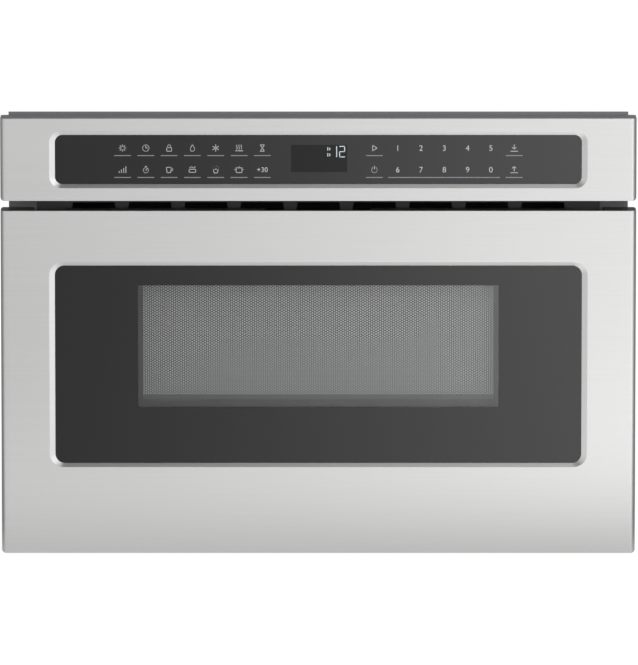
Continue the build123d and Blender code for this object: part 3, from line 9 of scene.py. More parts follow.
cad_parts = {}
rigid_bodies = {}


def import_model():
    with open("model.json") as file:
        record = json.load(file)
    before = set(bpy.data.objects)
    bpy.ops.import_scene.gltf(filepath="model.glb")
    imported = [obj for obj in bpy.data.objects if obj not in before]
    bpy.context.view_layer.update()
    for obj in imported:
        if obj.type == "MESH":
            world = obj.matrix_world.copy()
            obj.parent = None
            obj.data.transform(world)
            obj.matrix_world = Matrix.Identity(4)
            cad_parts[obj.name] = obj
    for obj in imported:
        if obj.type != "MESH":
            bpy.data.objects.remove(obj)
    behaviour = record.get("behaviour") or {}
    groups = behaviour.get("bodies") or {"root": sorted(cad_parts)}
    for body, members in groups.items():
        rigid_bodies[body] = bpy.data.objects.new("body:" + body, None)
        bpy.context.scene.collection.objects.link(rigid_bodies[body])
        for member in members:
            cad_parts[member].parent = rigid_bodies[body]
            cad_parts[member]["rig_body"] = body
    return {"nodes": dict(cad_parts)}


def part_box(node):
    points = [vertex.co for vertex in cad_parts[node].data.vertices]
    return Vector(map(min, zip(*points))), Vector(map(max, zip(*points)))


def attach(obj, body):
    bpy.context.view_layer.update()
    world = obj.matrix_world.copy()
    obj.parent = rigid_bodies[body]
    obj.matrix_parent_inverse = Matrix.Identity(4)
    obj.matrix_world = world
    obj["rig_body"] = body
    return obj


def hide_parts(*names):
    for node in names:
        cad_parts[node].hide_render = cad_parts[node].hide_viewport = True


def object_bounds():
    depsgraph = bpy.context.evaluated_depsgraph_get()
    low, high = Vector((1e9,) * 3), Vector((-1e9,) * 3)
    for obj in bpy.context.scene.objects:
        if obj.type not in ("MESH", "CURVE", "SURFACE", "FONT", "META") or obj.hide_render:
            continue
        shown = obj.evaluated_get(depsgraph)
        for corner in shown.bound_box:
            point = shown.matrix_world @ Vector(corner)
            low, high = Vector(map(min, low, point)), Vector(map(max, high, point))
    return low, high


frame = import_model()
cad_low, cad_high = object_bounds()
nodes = frame["nodes"]
# Lengths are in millimetres and angles in degrees, unless a comment says otherwise
MM = 0.001
NOISE_DETAIL = 6.0

# ------------------------------------------------------------------ materials


def linear(hex_colour):
    """The linear colour of an sRGB hex value."""
    parts = [int(hex_colour[i : i + 2], 16) / 255 for i in (1, 3, 5)]
    return tuple(c / 12.92 if c <= 0.04045 else ((c + 0.055) / 1.055) ** 2.4 for c in parts) + (1.0,)


def add(tree, kind, feeds=None, **settings):
    """A new node. feeds gives each input a value, a hex colour or another node's output."""
    node = tree.nodes.new(kind)
    for name, value in settings.items():
        setattr(node, name, value)
    for name, value in (feeds or {}).items():
        socket = node.inputs[name]
        if isinstance(value, bpy.types.NodeSocket):
            tree.links.new(value, socket)
        elif isinstance(value, str):
            socket.default_value = linear(value)
        else:
            socket.default_value = value
    return node


def finish_of(name, **constants):
    """A new material with one Principled shader. constants are its inputs, with underscores for spaces."""
    made = bpy.data.materials.new(name)
    made.use_nodes = True
    tree = made.node_tree
    shader = tree.nodes["Principled BSDF"]
    for key, value in constants.items():
        socket = shader.inputs[key.replace("_", " ")]
        socket.default_value = linear(value) if isinstance(value, str) else value
    return made, tree, shader


def stretched(tree, scale):
    """Object coordinates stretched by a scale per axis, per metre."""
    where = add(tree, "ShaderNodeTexCoord").outputs["Object"]
    return add(tree, "ShaderNodeMapping", {"Vector": where, "Scale": scale}).outputs["Vector"]


def tinted(tree, fac, low, high):
    """A colour between two hex values by a factor."""
    mix = add(tree, "ShaderNodeMix", data_type="RGBA")
    tree.links.new(fac, mix.inputs[0])
    mix.inputs[6].default_value = linear(low)
    mix.inputs[7].default_value = linear(high)
    return mix.outputs[2]


def ranged(tree, value, low, high):
    """A value from 0 to 1 brought between two numbers."""
    return add(tree, "ShaderNodeMapRange", {"Value": value, "To Min": low, "To Max": high}).outputs["Result"]


def smooth_step(tree, value, start, end, low, high):
    """A number that goes smoothly from low to high as a value goes from start to end."""
    feeds = {"Value": value, "From Min": start, "From Max": end, "To Min": low, "To Max": high}
    return add(tree, "ShaderNodeMapRange", feeds, interpolation_type="SMOOTHSTEP").outputs["Result"]


def math_of(tree, operation, *values):
    """One sum on a tree's numbers."""
    return add(tree, "ShaderNodeMath", dict(enumerate(values)), operation=operation).outputs[0]


def mixed(tree, share, first, second):
    """Two shaders, mixed by a share of the second."""
    return add(tree, "ShaderNodeMixShader", {0: share, 1: first, 2: second}).outputs[0]


def glow(tree, kind, strength):
    """A white emission or background of a strength."""
    return add(tree, kind, {"Color": "#FFFFFF", "Strength": strength}).outputs[0]


def grain(name, low, high, per_metre, rough, bump_mm, **constants):
    """A finish whose colour, roughness and surface vary with one noise, scaled per metre along each axis."""
    made, tree, shader = finish_of(name, **constants)
    feeds = {"Vector": stretched(tree, per_metre), "Scale": 1.0, "Detail": NOISE_DETAIL}
    value = add(tree, "ShaderNodeTexNoise", feeds).outputs["Fac"]
    tree.links.new(tinted(tree, value, low, high), shader.inputs["Base Color"])
    tree.links.new(ranged(tree, value, *rough), shader.inputs["Roughness"])
    if bump_mm:
        bump = add(tree, "ShaderNodeBump", {"Height": value, "Distance": bump_mm * MM, "Strength": 1.0})
        tree.links.new(bump.outputs["Normal"], shader.inputs["Normal"])
    return made


# 430 stainless, brushed along x with a belt. The real lines are under 0.1 mm and don't show at this scale, so
# they are drawn about 0.8 mm high. They spread a lamp's reflection up and down.
brushed_stainless = grain(
    "brushed_430_stainless", "#B3B3B3", "#BFBFBE", (9.0, 9.0, 1300.0), (0.4, 0.48), 0.005, Metallic=1.0
)
# Galvanised sheet: dull zinc with soft spangles a few millimetres wide
galvanised = grain("galvanised_steel", "#A3A6A8", "#B9BCBD", (140.0,) * 3, (0.38, 0.52), 0.004, Metallic=1.0)
# Zinc-plated slide rails: brighter and smoother than the sheet
zinc_plate = grain(
    "zinc_plated_rail", "#B4B7BA", "#C6C8CA", (60.0, 20.0, 400.0), (0.25, 0.34), 0.003, Metallic=1.0
)
# Grey oven enamel, glossy with a slight orange peel
cavity_enamel = grain(
    "grey_oven_enamel", "#8E8E8C", "#979795", (220.0,) * 3, (0.22, 0.3), 0.01, Coat_Weight=0.4
)
tub_enamel = grain(
    "light_grey_enamel", "#A9A8A5", "#B4B3B0", (220.0,) * 3, (0.2, 0.28), 0.01, Coat_Weight=0.5
)
# Moulded ABS with a fine spark texture
black_abs = grain("black_abs", "#17181A", "#202123", (900.0,) * 3, (0.42, 0.55), 0.02)
louvre_abs = grain("charcoal_abs", "#2A2B2D", "#343537", (900.0,) * 3, (0.38, 0.5), 0.02)
cap_abs = grain("dark_grey_abs", "#2C2D2F", "#343537", (900.0,) * 3, (0.36, 0.48), 0.02)
top_abs = grain("mid_grey_abs", "#5E5F61", "#676869", (900.0,) * 3, (0.42, 0.54), 0.02)
# The front frame is dipped in a dark grey electrocoat, thin and even, with the sheen of an eggshell
frame_coat = grain("dark_grey_electrocoat", "#6E6F71", "#777879", (500.0,) * 3, (0.42, 0.55), 0.006)
# Painted shade: a near-black finish for the box behind the louvre's slots, where the real object has only
# shade
painted_shade_liner = grain("painted_shade_black", "#040404", "#060606", (900.0,) * 3, (0.8, 0.95), 0.02)
choke_pp = grain("black_polypropylene", "#121314", "#1B1C1D", (700.0,) * 3, (0.45, 0.6), 0.015)
white_pom = grain("white_acetal", "#DEDDD6", "#E8E7E1", (300.0,) * 3, (0.3, 0.42), 0.005)
dark_pom = grain("black_acetal", "#1C1C1E", "#262628", (300.0,) * 3, (0.32, 0.44), 0.005)
lamp_porcelain = grain("white_lamp_porcelain", "#DDDAD2", "#E8E5DD", (200.0,) * 3, (0.2, 0.32), 0.01)
mica_board = grain("mica_board", "#B9A988", "#CDBF9F", (160.0, 160.0, 160.0), (0.4, 0.6), 0.02)
switch_pbt = grain("red_pbt", "#7E2A22", "#8C3228", (500.0,) * 3, (0.35, 0.48), 0.01)
ground_steel = grain(
    "ground_steel_shaft", "#A5A8AB", "#B9BBBD", (2500.0, 300.0, 300.0), (0.18, 0.28), 0.002, Metallic=1.0
)
motor_steel = grain("plated_motor_can", "#8D9194", "#A0A4A6", (150.0,) * 3, (0.3, 0.42), 0.004, Metallic=1.0)
aluminised = grain("aluminised_sheet", "#B4B7B9", "#C4C6C8", (120.0,) * 3, (0.3, 0.44), 0.005, Metallic=1.0)
rolled_aluminium = grain(
    "rolled_aluminium", "#BFC1C3", "#CFD1D2", (60.0, 700.0, 60.0), (0.24, 0.34), 0.003, Metallic=1.0
)
varnished_iron = grain("varnished_laminations", "#3A2B25", "#4C3A32", (40.0, 1600.0, 40.0), (0.3, 0.5), 0.03)
solder_mask = grain("green_solder_mask", "#184A2C", "#1F5A36", (600.0,) * 3, (0.25, 0.4), 0.01)
fan_pp = grain("grey_polypropylene", "#85878A", "#8F9194", (400.0,) * 3, (0.36, 0.5), 0.008)
screen_enamel = grain("dark_grey_screen_enamel", "#38393A", "#424344", (500.0,) * 3, (0.35, 0.5), 0.01)

# Printed inks on the glasses. The marks are a light grey ceramic ink, and the underlines a darker one.
black_ink = grain("black_ceramic_ink", "#0B0B0D", "#101012", (600.0,) * 3, (0.25, 0.35), 0.0)
mark_ink = grain("light_grey_ink", "#AEB0B1", "#B8BABB", (900.0,) * 3, (0.35, 0.45), 0.0)
underline_ink = grain("mid_grey_ink", "#7C7E80", "#86888A", (900.0,) * 3, (0.35, 0.45), 0.0)
film_foot_ink = grain("grey_foot_ink", "#808283", "#88898A", (600.0,) * 3, (0.4, 0.5), 0.0)
display_ink = grain("display_segment_ink", "#C9D3D8", "#D3DCE0", (900.0,) * 3, (0.4, 0.5), 0.0)
display_film = grain("black_display_film", "#08090A", "#0B0C0D", (500.0,) * 3, (0.08, 0.12), 0.0, IOR=1.36)

# Float glass, black at its back: a polished dark surface that reflects the studio
control_black = grain("black_backed_glass", "#0A0A0C", "#0D0D0F", (30.0,) * 3, (0.03, 0.05), 0.0, IOR=1.52)
# Tempered glass: clear in the drawer's window, and milky in the tray
clear_glass, _, _ = finish_of(
    "clear_tempered_glass", Base_Color="#E4E6E6", Roughness=0.0, IOR=1.52, Transmission_Weight=1.0
)
tray_glass, _, _ = finish_of(
    "tray_glass", Base_Color="#D3D9D7", Roughness=0.08, IOR=1.5, Transmission_Weight=0.45
)
# The inner window: a white-backed film that catches the light behind the screen's holes
window_film = grain("milky_window_film", "#E0E0DF", "#EAEAE9", (80.0,) * 3, (0.4, 0.5), 0.0)

node_finish = {
    "base_pan": galvanised,
    "wrapper_cover": galvanised,
    "rear_panel": galvanised,
    "front_frame": frame_coat,
    "oven_cavity": cavity_enamel,
    "vent_louvre": louvre_abs,
    "fascia_cap": top_abs,
    "control_glass": control_black,
    "touch_sensor": mica_board,
    "fascia_bracket": black_abs,
    "display_module": display_film,
    "control_board": solder_mask,
    "fascia_skin": brushed_stainless,
    "door_skin": brushed_stainless,
    "door_glass": clear_glass,
    "door_frame": galvanised,
    "door_screen": screen_enamel,
    "inner_window": window_film,
    "choke_cover": choke_pp,
    "door_cap_left": cap_abs,
    "door_cap_right": cap_abs,
    "door_top_lip": cap_abs,
    "drawer_tub": tub_enamel,
    "tub_tray": tray_glass,
    "carriage_arm_left": zinc_plate,
    "carriage_arm_right": zinc_plate,
    "outer_rail_left": zinc_plate,
    "outer_rail_right": zinc_plate,
    "mid_rail_left": zinc_plate,
    "mid_rail_right": zinc_plate,
    "inner_rail_left": zinc_plate,
    "inner_rail_right": zinc_plate,
    "rack_left": dark_pom,
    "rack_right": dark_pom,
    "drive_shaft": ground_steel,
    "drive_pinions": white_pom,
    "shaft_gear": white_pom,
    "motor_pinion": white_pom,
    "drive_motor": motor_steel,
    "motor_bracket": galvanised,
    "shaft_bearings": white_pom,
    "waveguide": aluminised,
    "waveguide_cover": mica_board,
    "stirrer_blade": rolled_aluminium,
    "stirrer_motor": motor_steel,
    "magnetron": aluminised,
    "power_transformer": varnished_iron,
    "hv_capacitor": rolled_aluminium,
    "capacitor_clamp": galvanised,
    "noise_filter": solder_mask,
    "fan_shroud": black_abs,
    "fan_motor": motor_steel,
    "fan_blade": fan_pp,
    "oven_lamp": lamp_porcelain,
    "latch_hooks": white_pom,
    "interlock_switches": switch_pbt,
    "cord_gland": black_abs,
    "chassis_screws": ground_steel,
    "drawer_screws": ground_steel,
}
for node_name, material in node_finish.items():
    slots = nodes[node_name].data.materials
    slots.clear()
    slots.append(material)

# ------------------------------------------------------------------ modelling helpers

SHARP_ANGLE = 30.0
SMOOTH_MARGIN = 5.0
JOIN_DISTANCE = 1e-6  # in metres
FLAT_ANGLE = math.radians(0.5)
UPRIGHT = (math.radians(90), 0, 0)


def deselect():
    """Nothing is selected, so that an operator reaches only what comes next."""
    bpy.ops.object.select_all(action="DESELECT")


def named(name, finish):
    """Names the active piece and gives it its finish."""
    piece = bpy.context.object
    piece.name = name
    piece.data.name = name
    piece.data.materials.clear()
    piece.data.materials.append(finish)
    return piece


def settle():
    """Brings the active piece's place into its mesh."""
    bpy.ops.object.transform_apply(location=True, rotation=True, scale=True)


def edit_all():
    """Opens the active piece in edit mode with all of it selected."""
    bpy.ops.object.mode_set(mode="EDIT")
    bpy.ops.mesh.select_all(action="SELECT")


def thickened(piece, thickness_mm, offset):
    """Gives a flat piece a thickness, applied. offset is 1 for outwards and -1 for inwards."""
    sheet = piece.modifiers.new("sheet", "SOLIDIFY")
    sheet.thickness = thickness_mm * MM
    sheet.offset = offset
    bpy.ops.object.modifier_apply(modifier=sheet.name)


def rounded_edges(piece, width_mm, segments=2, angle=SHARP_ANGLE):
    """A small bevel on each edge sharper than an angle, applied, and smooth shading across the others."""
    bevel = piece.modifiers.new("bevel", "BEVEL")
    bevel.width = width_mm * MM
    bevel.segments = segments
    bevel.limit_method = "ANGLE"
    bevel.angle_limit = math.radians(angle)
    bpy.ops.object.modifier_apply(modifier=bevel.name)
    bpy.ops.object.shade_smooth_by_angle(angle=math.radians(angle + SMOOTH_MARGIN))
    flat = piece.modifiers.new("flat_faces", "WEIGHTED_NORMAL")
    flat.keep_sharp = True
    bpy.ops.object.modifier_apply(modifier=flat.name)


def merged_copy(node_name, name):
    """A copy of a CAD node with its loose triangles joined, which rides on its body and stands for it."""
    deselect()
    source = nodes[node_name]
    piece = source.copy()
    piece.data = source.data.copy()
    for key in list(piece.keys()):
        del piece[key]
    piece.parent = None
    bpy.context.scene.collection.objects.link(piece)
    piece.matrix_world = Matrix.Identity(4)
    bpy.context.view_layer.objects.active = piece
    piece.select_set(True)
    edit_all()
    bpy.ops.mesh.customdata_custom_splitnormals_clear()
    bpy.ops.mesh.remove_doubles(threshold=JOIN_DISTANCE)
    bpy.ops.mesh.dissolve_limited(angle_limit=FLAT_ANGLE)
    bpy.ops.object.mode_set(mode="OBJECT")
    named(name, node_finish[node_name])
    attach(piece, source["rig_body"])
    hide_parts(node_name)
    return piece


def slab(name, x, y, z, finish):
    """A block between pairs of x, y and z in millimetres, as the active piece."""
    deselect()
    middle = [(a + b) / 2 * MM for a, b in (x, y, z)]
    bpy.ops.mesh.primitive_cube_add(size=1.0, location=middle)
    bpy.context.object.scale = [abs(b - a) * MM for a, b in (x, y, z)]
    settle()
    return named(name, finish)


# ------------------------------------------------------------------ the fronts

# The sheet-metal and moulded pieces, each with the small fold or mould radius, in millimetres, that catches
# the light on its edges
edge_radii = {
    "door_skin": 0.3,
    "fascia_skin": 0.3,
    "fascia_cap": 0.5,
    "door_cap_left": 0.6,
    "door_cap_right": 0.6,
    "door_top_lip": 0.3,
    "vent_louvre": 0.3,
    "front_frame": 0.3,
    "control_glass": 0.3,
    "choke_cover": 0.4,
    "carriage_arm_left": 0.3,
    "carriage_arm_right": 0.3,
    "wrapper_cover": 0.2,
    "rear_panel": 0.2,
    "base_pan": 0.3,
    "fascia_bracket": 0.3,
    "motor_bracket": 0.3,
    "latch_hooks": 0.2,
}
# The recesses slope gently, so the skins' folds are told apart by a smaller angle
SKIN_ANGLE = 15.0
for node_name, radius in edge_radii.items():
    fold = SKIN_ANGLE if node_name.endswith("_skin") else SHARP_ANGLE
    rounded_edges(merged_copy(node_name, node_name + "_finished"), radius, angle=fold)

# A box of painted shade behind the louvre's slots, near black and open at its front, so that the slots read
# dark
SHADE_BOX_DEPTH = 34.0
SHADE_BOX_MARGIN_X = 6.0
SHADE_BOX_MARGIN_Z = 3.0
SHADE_BOX_GAP = 0.1
SHADE_BOX_WALL = 1.0
deselect()
bpy.ops.mesh.primitive_cube_add(size=1.0)
louvre_shade_box = named("louvre_shade_box", painted_shade_liner)
bpy.ops.object.mode_set(mode="EDIT")
bpy.ops.mesh.select_mode(type="FACE")
bpy.ops.mesh.select_all(action="DESELECT")
bpy.ops.object.mode_set(mode="OBJECT")
for face in louvre_shade_box.data.polygons:
    face.select = face.normal.y < -0.5
bpy.ops.object.mode_set(mode="EDIT")
bpy.ops.mesh.delete(type="FACE")
bpy.ops.mesh.select_mode(type="VERT")
bpy.ops.object.mode_set(mode="OBJECT")
louvre_low, louvre_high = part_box("vent_louvre")
louvre_size = louvre_high - louvre_low
shade_box_y = louvre_high.y + (SHADE_BOX_DEPTH / 2 + SHADE_BOX_GAP) * MM
louvre_shade_box.scale = (louvre_size.x - SHADE_BOX_MARGIN_X * MM, SHADE_BOX_DEPTH * MM, louvre_size.z - SHADE_BOX_MARGIN_Z * MM)
louvre_shade_box.location = (0, shade_box_y, (louvre_low.z + louvre_high.z) / 2)
settle()
thickened(louvre_shade_box, SHADE_BOX_WALL, -1.0)
rounded_edges(louvre_shade_box, 0.2, 1)
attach(louvre_shade_box, "chassis")

# ------------------------------------------------------------------ the drawer's window

# The glass: black print on its back all over, but for the clear window
WINDOW_X, WINDOW_LOW, WINDOW_HIGH = 172.2, 117.1, 234.7
BACK_DEPTH = 0.1  # how near the glass's back a printed face lies
pane = merged_copy("door_glass", "door_glass_pane")
bpy.ops.object.mode_set(mode="EDIT")
for point, way in (
    ((-WINDOW_X, 0, 0), (1, 0, 0)),
    ((WINDOW_X, 0, 0), (1, 0, 0)),
    ((0, 0, WINDOW_LOW), (0, 0, 1)),
    ((0, 0, WINDOW_HIGH), (0, 0, 1)),
):
    bpy.ops.mesh.select_all(action="SELECT")
    bpy.ops.mesh.bisect(plane_co=[c * MM for c in point], plane_no=way)
bpy.ops.object.mode_set(mode="OBJECT")
pane.data.materials.append(control_black)
pane.data.materials.append(black_ink)
_, glass_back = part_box("door_glass")
for face in pane.data.polygons:
    centre = face.center / MM
    clear = abs(centre.x) < WINDOW_X and WINDOW_LOW < centre.z < WINDOW_HIGH
    if not clear:
        face.material_index = 2 if centre.y > glass_back.y / MM - BACK_DEPTH else 1

# The film behind the screen, with a darker printed edge at its foot
FILM_FOOT = 126.5
film = merged_copy("inner_window", "window_film_pane")
edit_all()
bpy.ops.mesh.bisect(plane_co=(0, 0, FILM_FOOT * MM), plane_no=(0, 0, 1))
bpy.ops.object.mode_set(mode="OBJECT")
film.data.materials.append(film_foot_ink)
for face in film.data.polygons:
    if face.center.z < FILM_FOOT * MM:
        face.material_index = 1

# The perforated screen: a honeycomb of hexagonal holes. One cell is a hexagon with a hole, two cells repeat.
HOLE_PITCH = 2.42
WEB = 0.33  # half the metal between two holes
CELL_JOIN = 0.02
SHEET = 0.6
FIELD_X, FIELD_LOW, FIELD_HIGH = 167.9, 121.9, 236.0
SCREEN_FRONT = -289.0
cell_side = HOLE_PITCH / math.sqrt(3)
columns = math.ceil(FIELD_X / (3 * cell_side)) + 1
rows = math.ceil((FIELD_HIGH - FIELD_LOW) / HOLE_PITCH) + 1
deselect()
bpy.ops.mesh.primitive_circle_add(vertices=6, radius=cell_side * MM, fill_type="NGON")
edit_all()
bpy.ops.mesh.inset(thickness=WEB * MM)
bpy.ops.mesh.delete(type="FACE")
bpy.ops.mesh.select_all(action="SELECT")
bpy.ops.transform.rotate(value=math.radians(30), orient_axis="Z", center_override=(0, 0, 0))
bpy.ops.mesh.duplicate_move(TRANSFORM_OT_translate={"value": (1.5 * cell_side * MM, HOLE_PITCH / 2 * MM, 0)})
bpy.ops.object.mode_set(mode="OBJECT")
screen_right = named("window_screen_right", screen_enamel)
screen_right.rotation_euler = UPRIGHT
screen_right.location = (cell_side / 2 * MM, (SCREEN_FRONT + SHEET) * MM, (FIELD_LOW - HOLE_PITCH) * MM)
settle()
for count, offset in ((columns, (3 * cell_side * MM, 0, 0)), (rows, (0, 0, HOLE_PITCH * MM))):
    array = screen_right.modifiers.new("array", "ARRAY")
    array.count = count
    array.use_relative_offset = False
    array.use_constant_offset = True
    array.constant_offset_displace = offset
    bpy.ops.object.modifier_apply(modifier=array.name)
edit_all()
bpy.ops.mesh.remove_doubles(threshold=CELL_JOIN * MM)
bpy.ops.object.mode_set(mode="OBJECT")
thickened(screen_right, SHEET, 1.0)
deselect()
screen_right.select_set(True)
bpy.context.view_layer.objects.active = screen_right
bpy.ops.object.duplicate()
screen_left = named("window_screen_left", screen_enamel)
screen_left.location = (-columns * 3 * cell_side * MM, 0, 0)
settle()
for half in (screen_right, screen_left):
    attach(half, "drawer")

# The screen's plain border, with its raised bead
INSET = 0.05  # a plane's inset per ring, before the rings get their sizes
BEAD_REACH = (10.0, 5.0)  # the bead's outer and inner side, outside the window
BEAD_HEIGHT = 0.5
BORDER_SHEET = 0.2
screen_low, screen_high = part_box("door_screen")
deselect()
bpy.ops.mesh.primitive_plane_add(size=1.0)
screen_border = named("window_screen_border", screen_enamel)
bpy.ops.object.mode_set(mode="EDIT")
for _ in range(3):
    bpy.ops.mesh.inset(thickness=INSET)
bpy.ops.mesh.delete(type="FACE")
bpy.ops.object.mode_set(mode="OBJECT")
# Half the width, the low and the high side of each ring, from the sheet's edge to the field of holes
rings = [
    (screen_high.x / MM, screen_low.z / MM, screen_high.z / MM),
    *((WINDOW_X + reach, WINDOW_LOW - reach, WINDOW_HIGH + reach) for reach in BEAD_REACH),
    (FIELD_X, FIELD_LOW, FIELD_HIGH),
]
for vertex in screen_border.data.vertices:
    ring = round((0.5 - abs(vertex.co.x)) / INSET)
    half_x, low_z, high_z = rings[ring]
    side = 1 if vertex.co.x > 0 else -1
    edge_z = high_z if vertex.co.y > 0 else low_z
    vertex.co = (side * half_x * MM, (SCREEN_FRONT - BORDER_SHEET) * MM, edge_z * MM)
bpy.ops.object.mode_set(mode="EDIT")
bpy.ops.mesh.select_all(action="DESELECT")
bpy.ops.object.mode_set(mode="OBJECT")
for face in screen_border.data.polygons:
    corner_rings = {
        min(range(4), key=lambda r: abs(abs(screen_border.data.vertices[v].co.x) - rings[r][0] * MM))
        for v in face.vertices
    }
    face.select = corner_rings == {1, 2}
bpy.ops.object.mode_set(mode="EDIT")
bpy.ops.mesh.extrude_region_move(TRANSFORM_OT_translate={"value": (0, -BEAD_HEIGHT * MM, 0)})
bpy.ops.object.mode_set(mode="OBJECT")
thickened(screen_border, BORDER_SHEET, -1.0)
edit_all()
bpy.ops.mesh.normals_make_consistent(inside=False)
bpy.ops.object.mode_set(mode="OBJECT")
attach(screen_border, "drawer")
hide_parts("door_screen")

# ------------------------------------------------------------------ the control panel's marks

panel_low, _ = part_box("control_glass")
INK_GAP = 0.01  # from the glass to the ink
INK_PLANE = panel_low.y / MM - INK_GAP
INK = 0.04
STROKE = 0.62
LINE_WIDTH = 0.8  # of the underlines and the display's digits
ARC_STEPS = 14
END_SHARE = 0.7  # how much of its width a stroke is lengthened by, so that corners close


def begin_print(name, ink):
    """An empty flat mesh, open in edit mode, for strokes of ink. It lies down until it is finished."""
    deselect()
    bpy.ops.mesh.primitive_plane_add(size=1.0)
    named(name, ink)
    bpy.ops.object.mode_set(mode="EDIT")
    bpy.ops.mesh.delete(type="VERT")


def stroke(points, at=(0.0, 0.0), width=STROKE):
    """A line of ink through points, in millimetres from a centre."""
    for (x0, z0), (x1, z1) in zip(points, points[1:]):
        length = math.hypot(x1 - x0, z1 - z0) + END_SHARE * width
        turn = math.atan2(z1 - z0, x1 - x0)
        place = (at[0] + (x0 + x1) / 2, at[1] + (z0 + z1) / 2, 0)
        bpy.ops.mesh.primitive_plane_add(size=width * MM)
        bpy.ops.transform.resize(value=(length / width, 1, 1), center_override=(0, 0, 0))
        bpy.ops.transform.rotate(value=-turn, orient_axis="Z", center_override=(0, 0, 0))
        bpy.ops.transform.translate(value=[c * MM for c in place])


def arc(radius, centre=(0.0, 0.0), start=0.0, end=360.0):
    """Points on an arc."""
    turns = [math.radians(start + (end - start) * step / ARC_STEPS) for step in range(ARC_STEPS + 1)]
    return [(centre[0] + radius * math.cos(t), centre[1] + radius * math.sin(t)) for t in turns]


def ray(turn, start, end):
    """A line along a direction, between two distances from the centre."""
    return [(start * math.cos(turn), start * math.sin(turn)), (end * math.cos(turn), end * math.sin(turn))]


def end_print(depth=INK_PLANE):
    """Stands the flat mesh up on the glass and gives the ink its thickness."""
    bpy.ops.object.mode_set(mode="OBJECT")
    printed = bpy.context.object
    printed.rotation_euler = UPRIGHT
    printed.location = (0, depth * MM, 0)
    settle()
    thickened(printed, INK, 1.0)
    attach(printed, "chassis")
    return printed


# The key columns stand the same way on both sides of the display, in millimetres from its middle. The rows'
# heights are those of the marks and of the underlines.
COLUMNS = [53.4 + 22.2 * step for step in range(7)]
UPPER, LOWER = 366.7, 346.0
UPPER_LINE, LOWER_LINE = 359.5, 338.5
LINE_REACH = 7.7  # half the length of an underline
DIGITS_LINE_LEFT, DIGITS_LINE_RIGHT = 8.9, 8.4  # how far the digits' underline goes past its outer columns
LABEL_HEIGHT = 4.6
DIGIT_HEIGHT = 5.3
FIGURE_SHARE = 0.69  # a figure's height as a share of the letter size

# Left keys, upper row: a cog, a clock, a padlock, a drop, a snowflake, rising heat and an hourglass
cog = [ray(k * math.pi / 4, 2.1, 3.3) for k in range(8)]
pictograms_upper = [
    [arc(1.7)] + cog,
    [arc(3.1), [(0, 2.0), (0, 0), (1.5, 0)]],
    [
        [(-2.3, -3.0), (2.3, -3.0), (2.3, 0.4), (-2.3, 0.4), (-2.3, -3.0)],
        [(-1.4, 0.4), (-1.4, 2.1), (-0.7, 3.1), (0.7, 3.1), (1.4, 2.1), (1.4, 0.4)],
    ],
    [
        [(0, 3.4), (1.5, 0.8), (2.1, -0.9), (1.4, -2.6), (0, -3.2)]
        + [(-1.4, -2.6), (-2.1, -0.9), (-1.5, 0.8), (0, 3.4)],
    ],
    [ray(turn, 3.2, -3.2) for turn in (math.pi / 2, math.pi / 6, -math.pi / 6)],
    [[(x, -1.0), (x + 0.6, 0.2), (x - 0.4, 1.6), (x + 0.1, 3.0)] for x in (-2.2, 0.0, 2.2)]
    + [[(-3.6, -2.6), (3.6, -2.6)]],
    [[(-2.1, 3.1), (2.1, 3.1), (-2.1, -3.1), (2.1, -3.1), (-2.1, 3.1)]],
]
# Lower row: rising bars, a stopwatch, a mug, a dish under a wave, a cup with puffs, and a pot with its lid
pictograms_lower = [
    [[(x, -3.0), (x, -3.0 + h)] for x, h in ((-3.2, 1.4), (-1.1, 2.9), (1.1, 4.4), (3.2, 6.0))],
    [arc(2.5, (0, -0.6)), [(-0.8, 3.1), (0.8, 3.1)], [(0, -0.6), (1.2, 0.8)]],
    [
        [(-2.7, 2.2), (-2.0, -2.9), (1.4, -2.9), (2.1, 2.2), (-2.7, 2.2)],
        [(1.9, 1.2), (3.4, 0.9), (3.2, -1.0), (1.7, -1.2)],
    ],
    [
        [(-3.1, -2.6), (3.1, -2.6), (3.1, 0.4), (-3.1, 0.4), (-3.1, -2.6)],
        [(-2.6, 1.8), (-0.9, 2.8), (0.9, 1.8), (2.6, 2.8)],
    ],
    [
        [(-2.3, 0.4), (-1.6, -3.2), (1.6, -3.2), (2.3, 0.4), (-2.3, 0.4)],
        arc(1.0, (-1.4, 1.6)),
        arc(1.0, (0.3, 2.5)),
        arc(1.0, (1.7, 1.5)),
    ],
    [
        [(-2.7, 0.8), (-2.7, -2.9), (2.7, -2.9), (2.7, 0.8)],
        [(-4.2, 0.1), (-2.7, 0.1)],
        [(2.7, 0.1), (4.2, 0.1)],
        [(-3.1, 1.7), (3.1, 1.7)],
        [(0, 1.7), (0, 2.9)],
    ],
]
play = [[(-1.8, 2.7), (2.6, 0), (-1.8, -2.7), (-1.8, 2.7)]]
off = [arc(2.7, (0, -0.3), 125, 415), [(0, 0.5), (0, 3.3)]]
drawer_out = [[(0, 3.2), (0, -1.2)], [(-1.8, 0.6), (0, -1.2), (1.8, 0.6)], [(-3.4, -3.0), (3.4, -3.0)]]
drawer_in = [[(0, -1.4), (0, 3.2)], [(-1.8, 1.4), (0, 3.2), (1.8, 1.4)], [(-3.4, -3.0), (3.4, -3.0)]]

begin_print("panel_pictograms", mark_ink)
for number, lines in enumerate(pictograms_upper):
    for line in lines:
        stroke(line, (-COLUMNS[6 - number], UPPER))
for number, lines in enumerate(pictograms_lower):
    for line in lines:
        stroke(line, (-COLUMNS[6 - number], LOWER))
for lines, column, row in ((play, 0, UPPER), (off, 0, LOWER), (drawer_out, 6, UPPER), (drawer_in, 6, LOWER)):
    for line in lines:
        stroke(line, (COLUMNS[column], row))
pictograms = end_print()

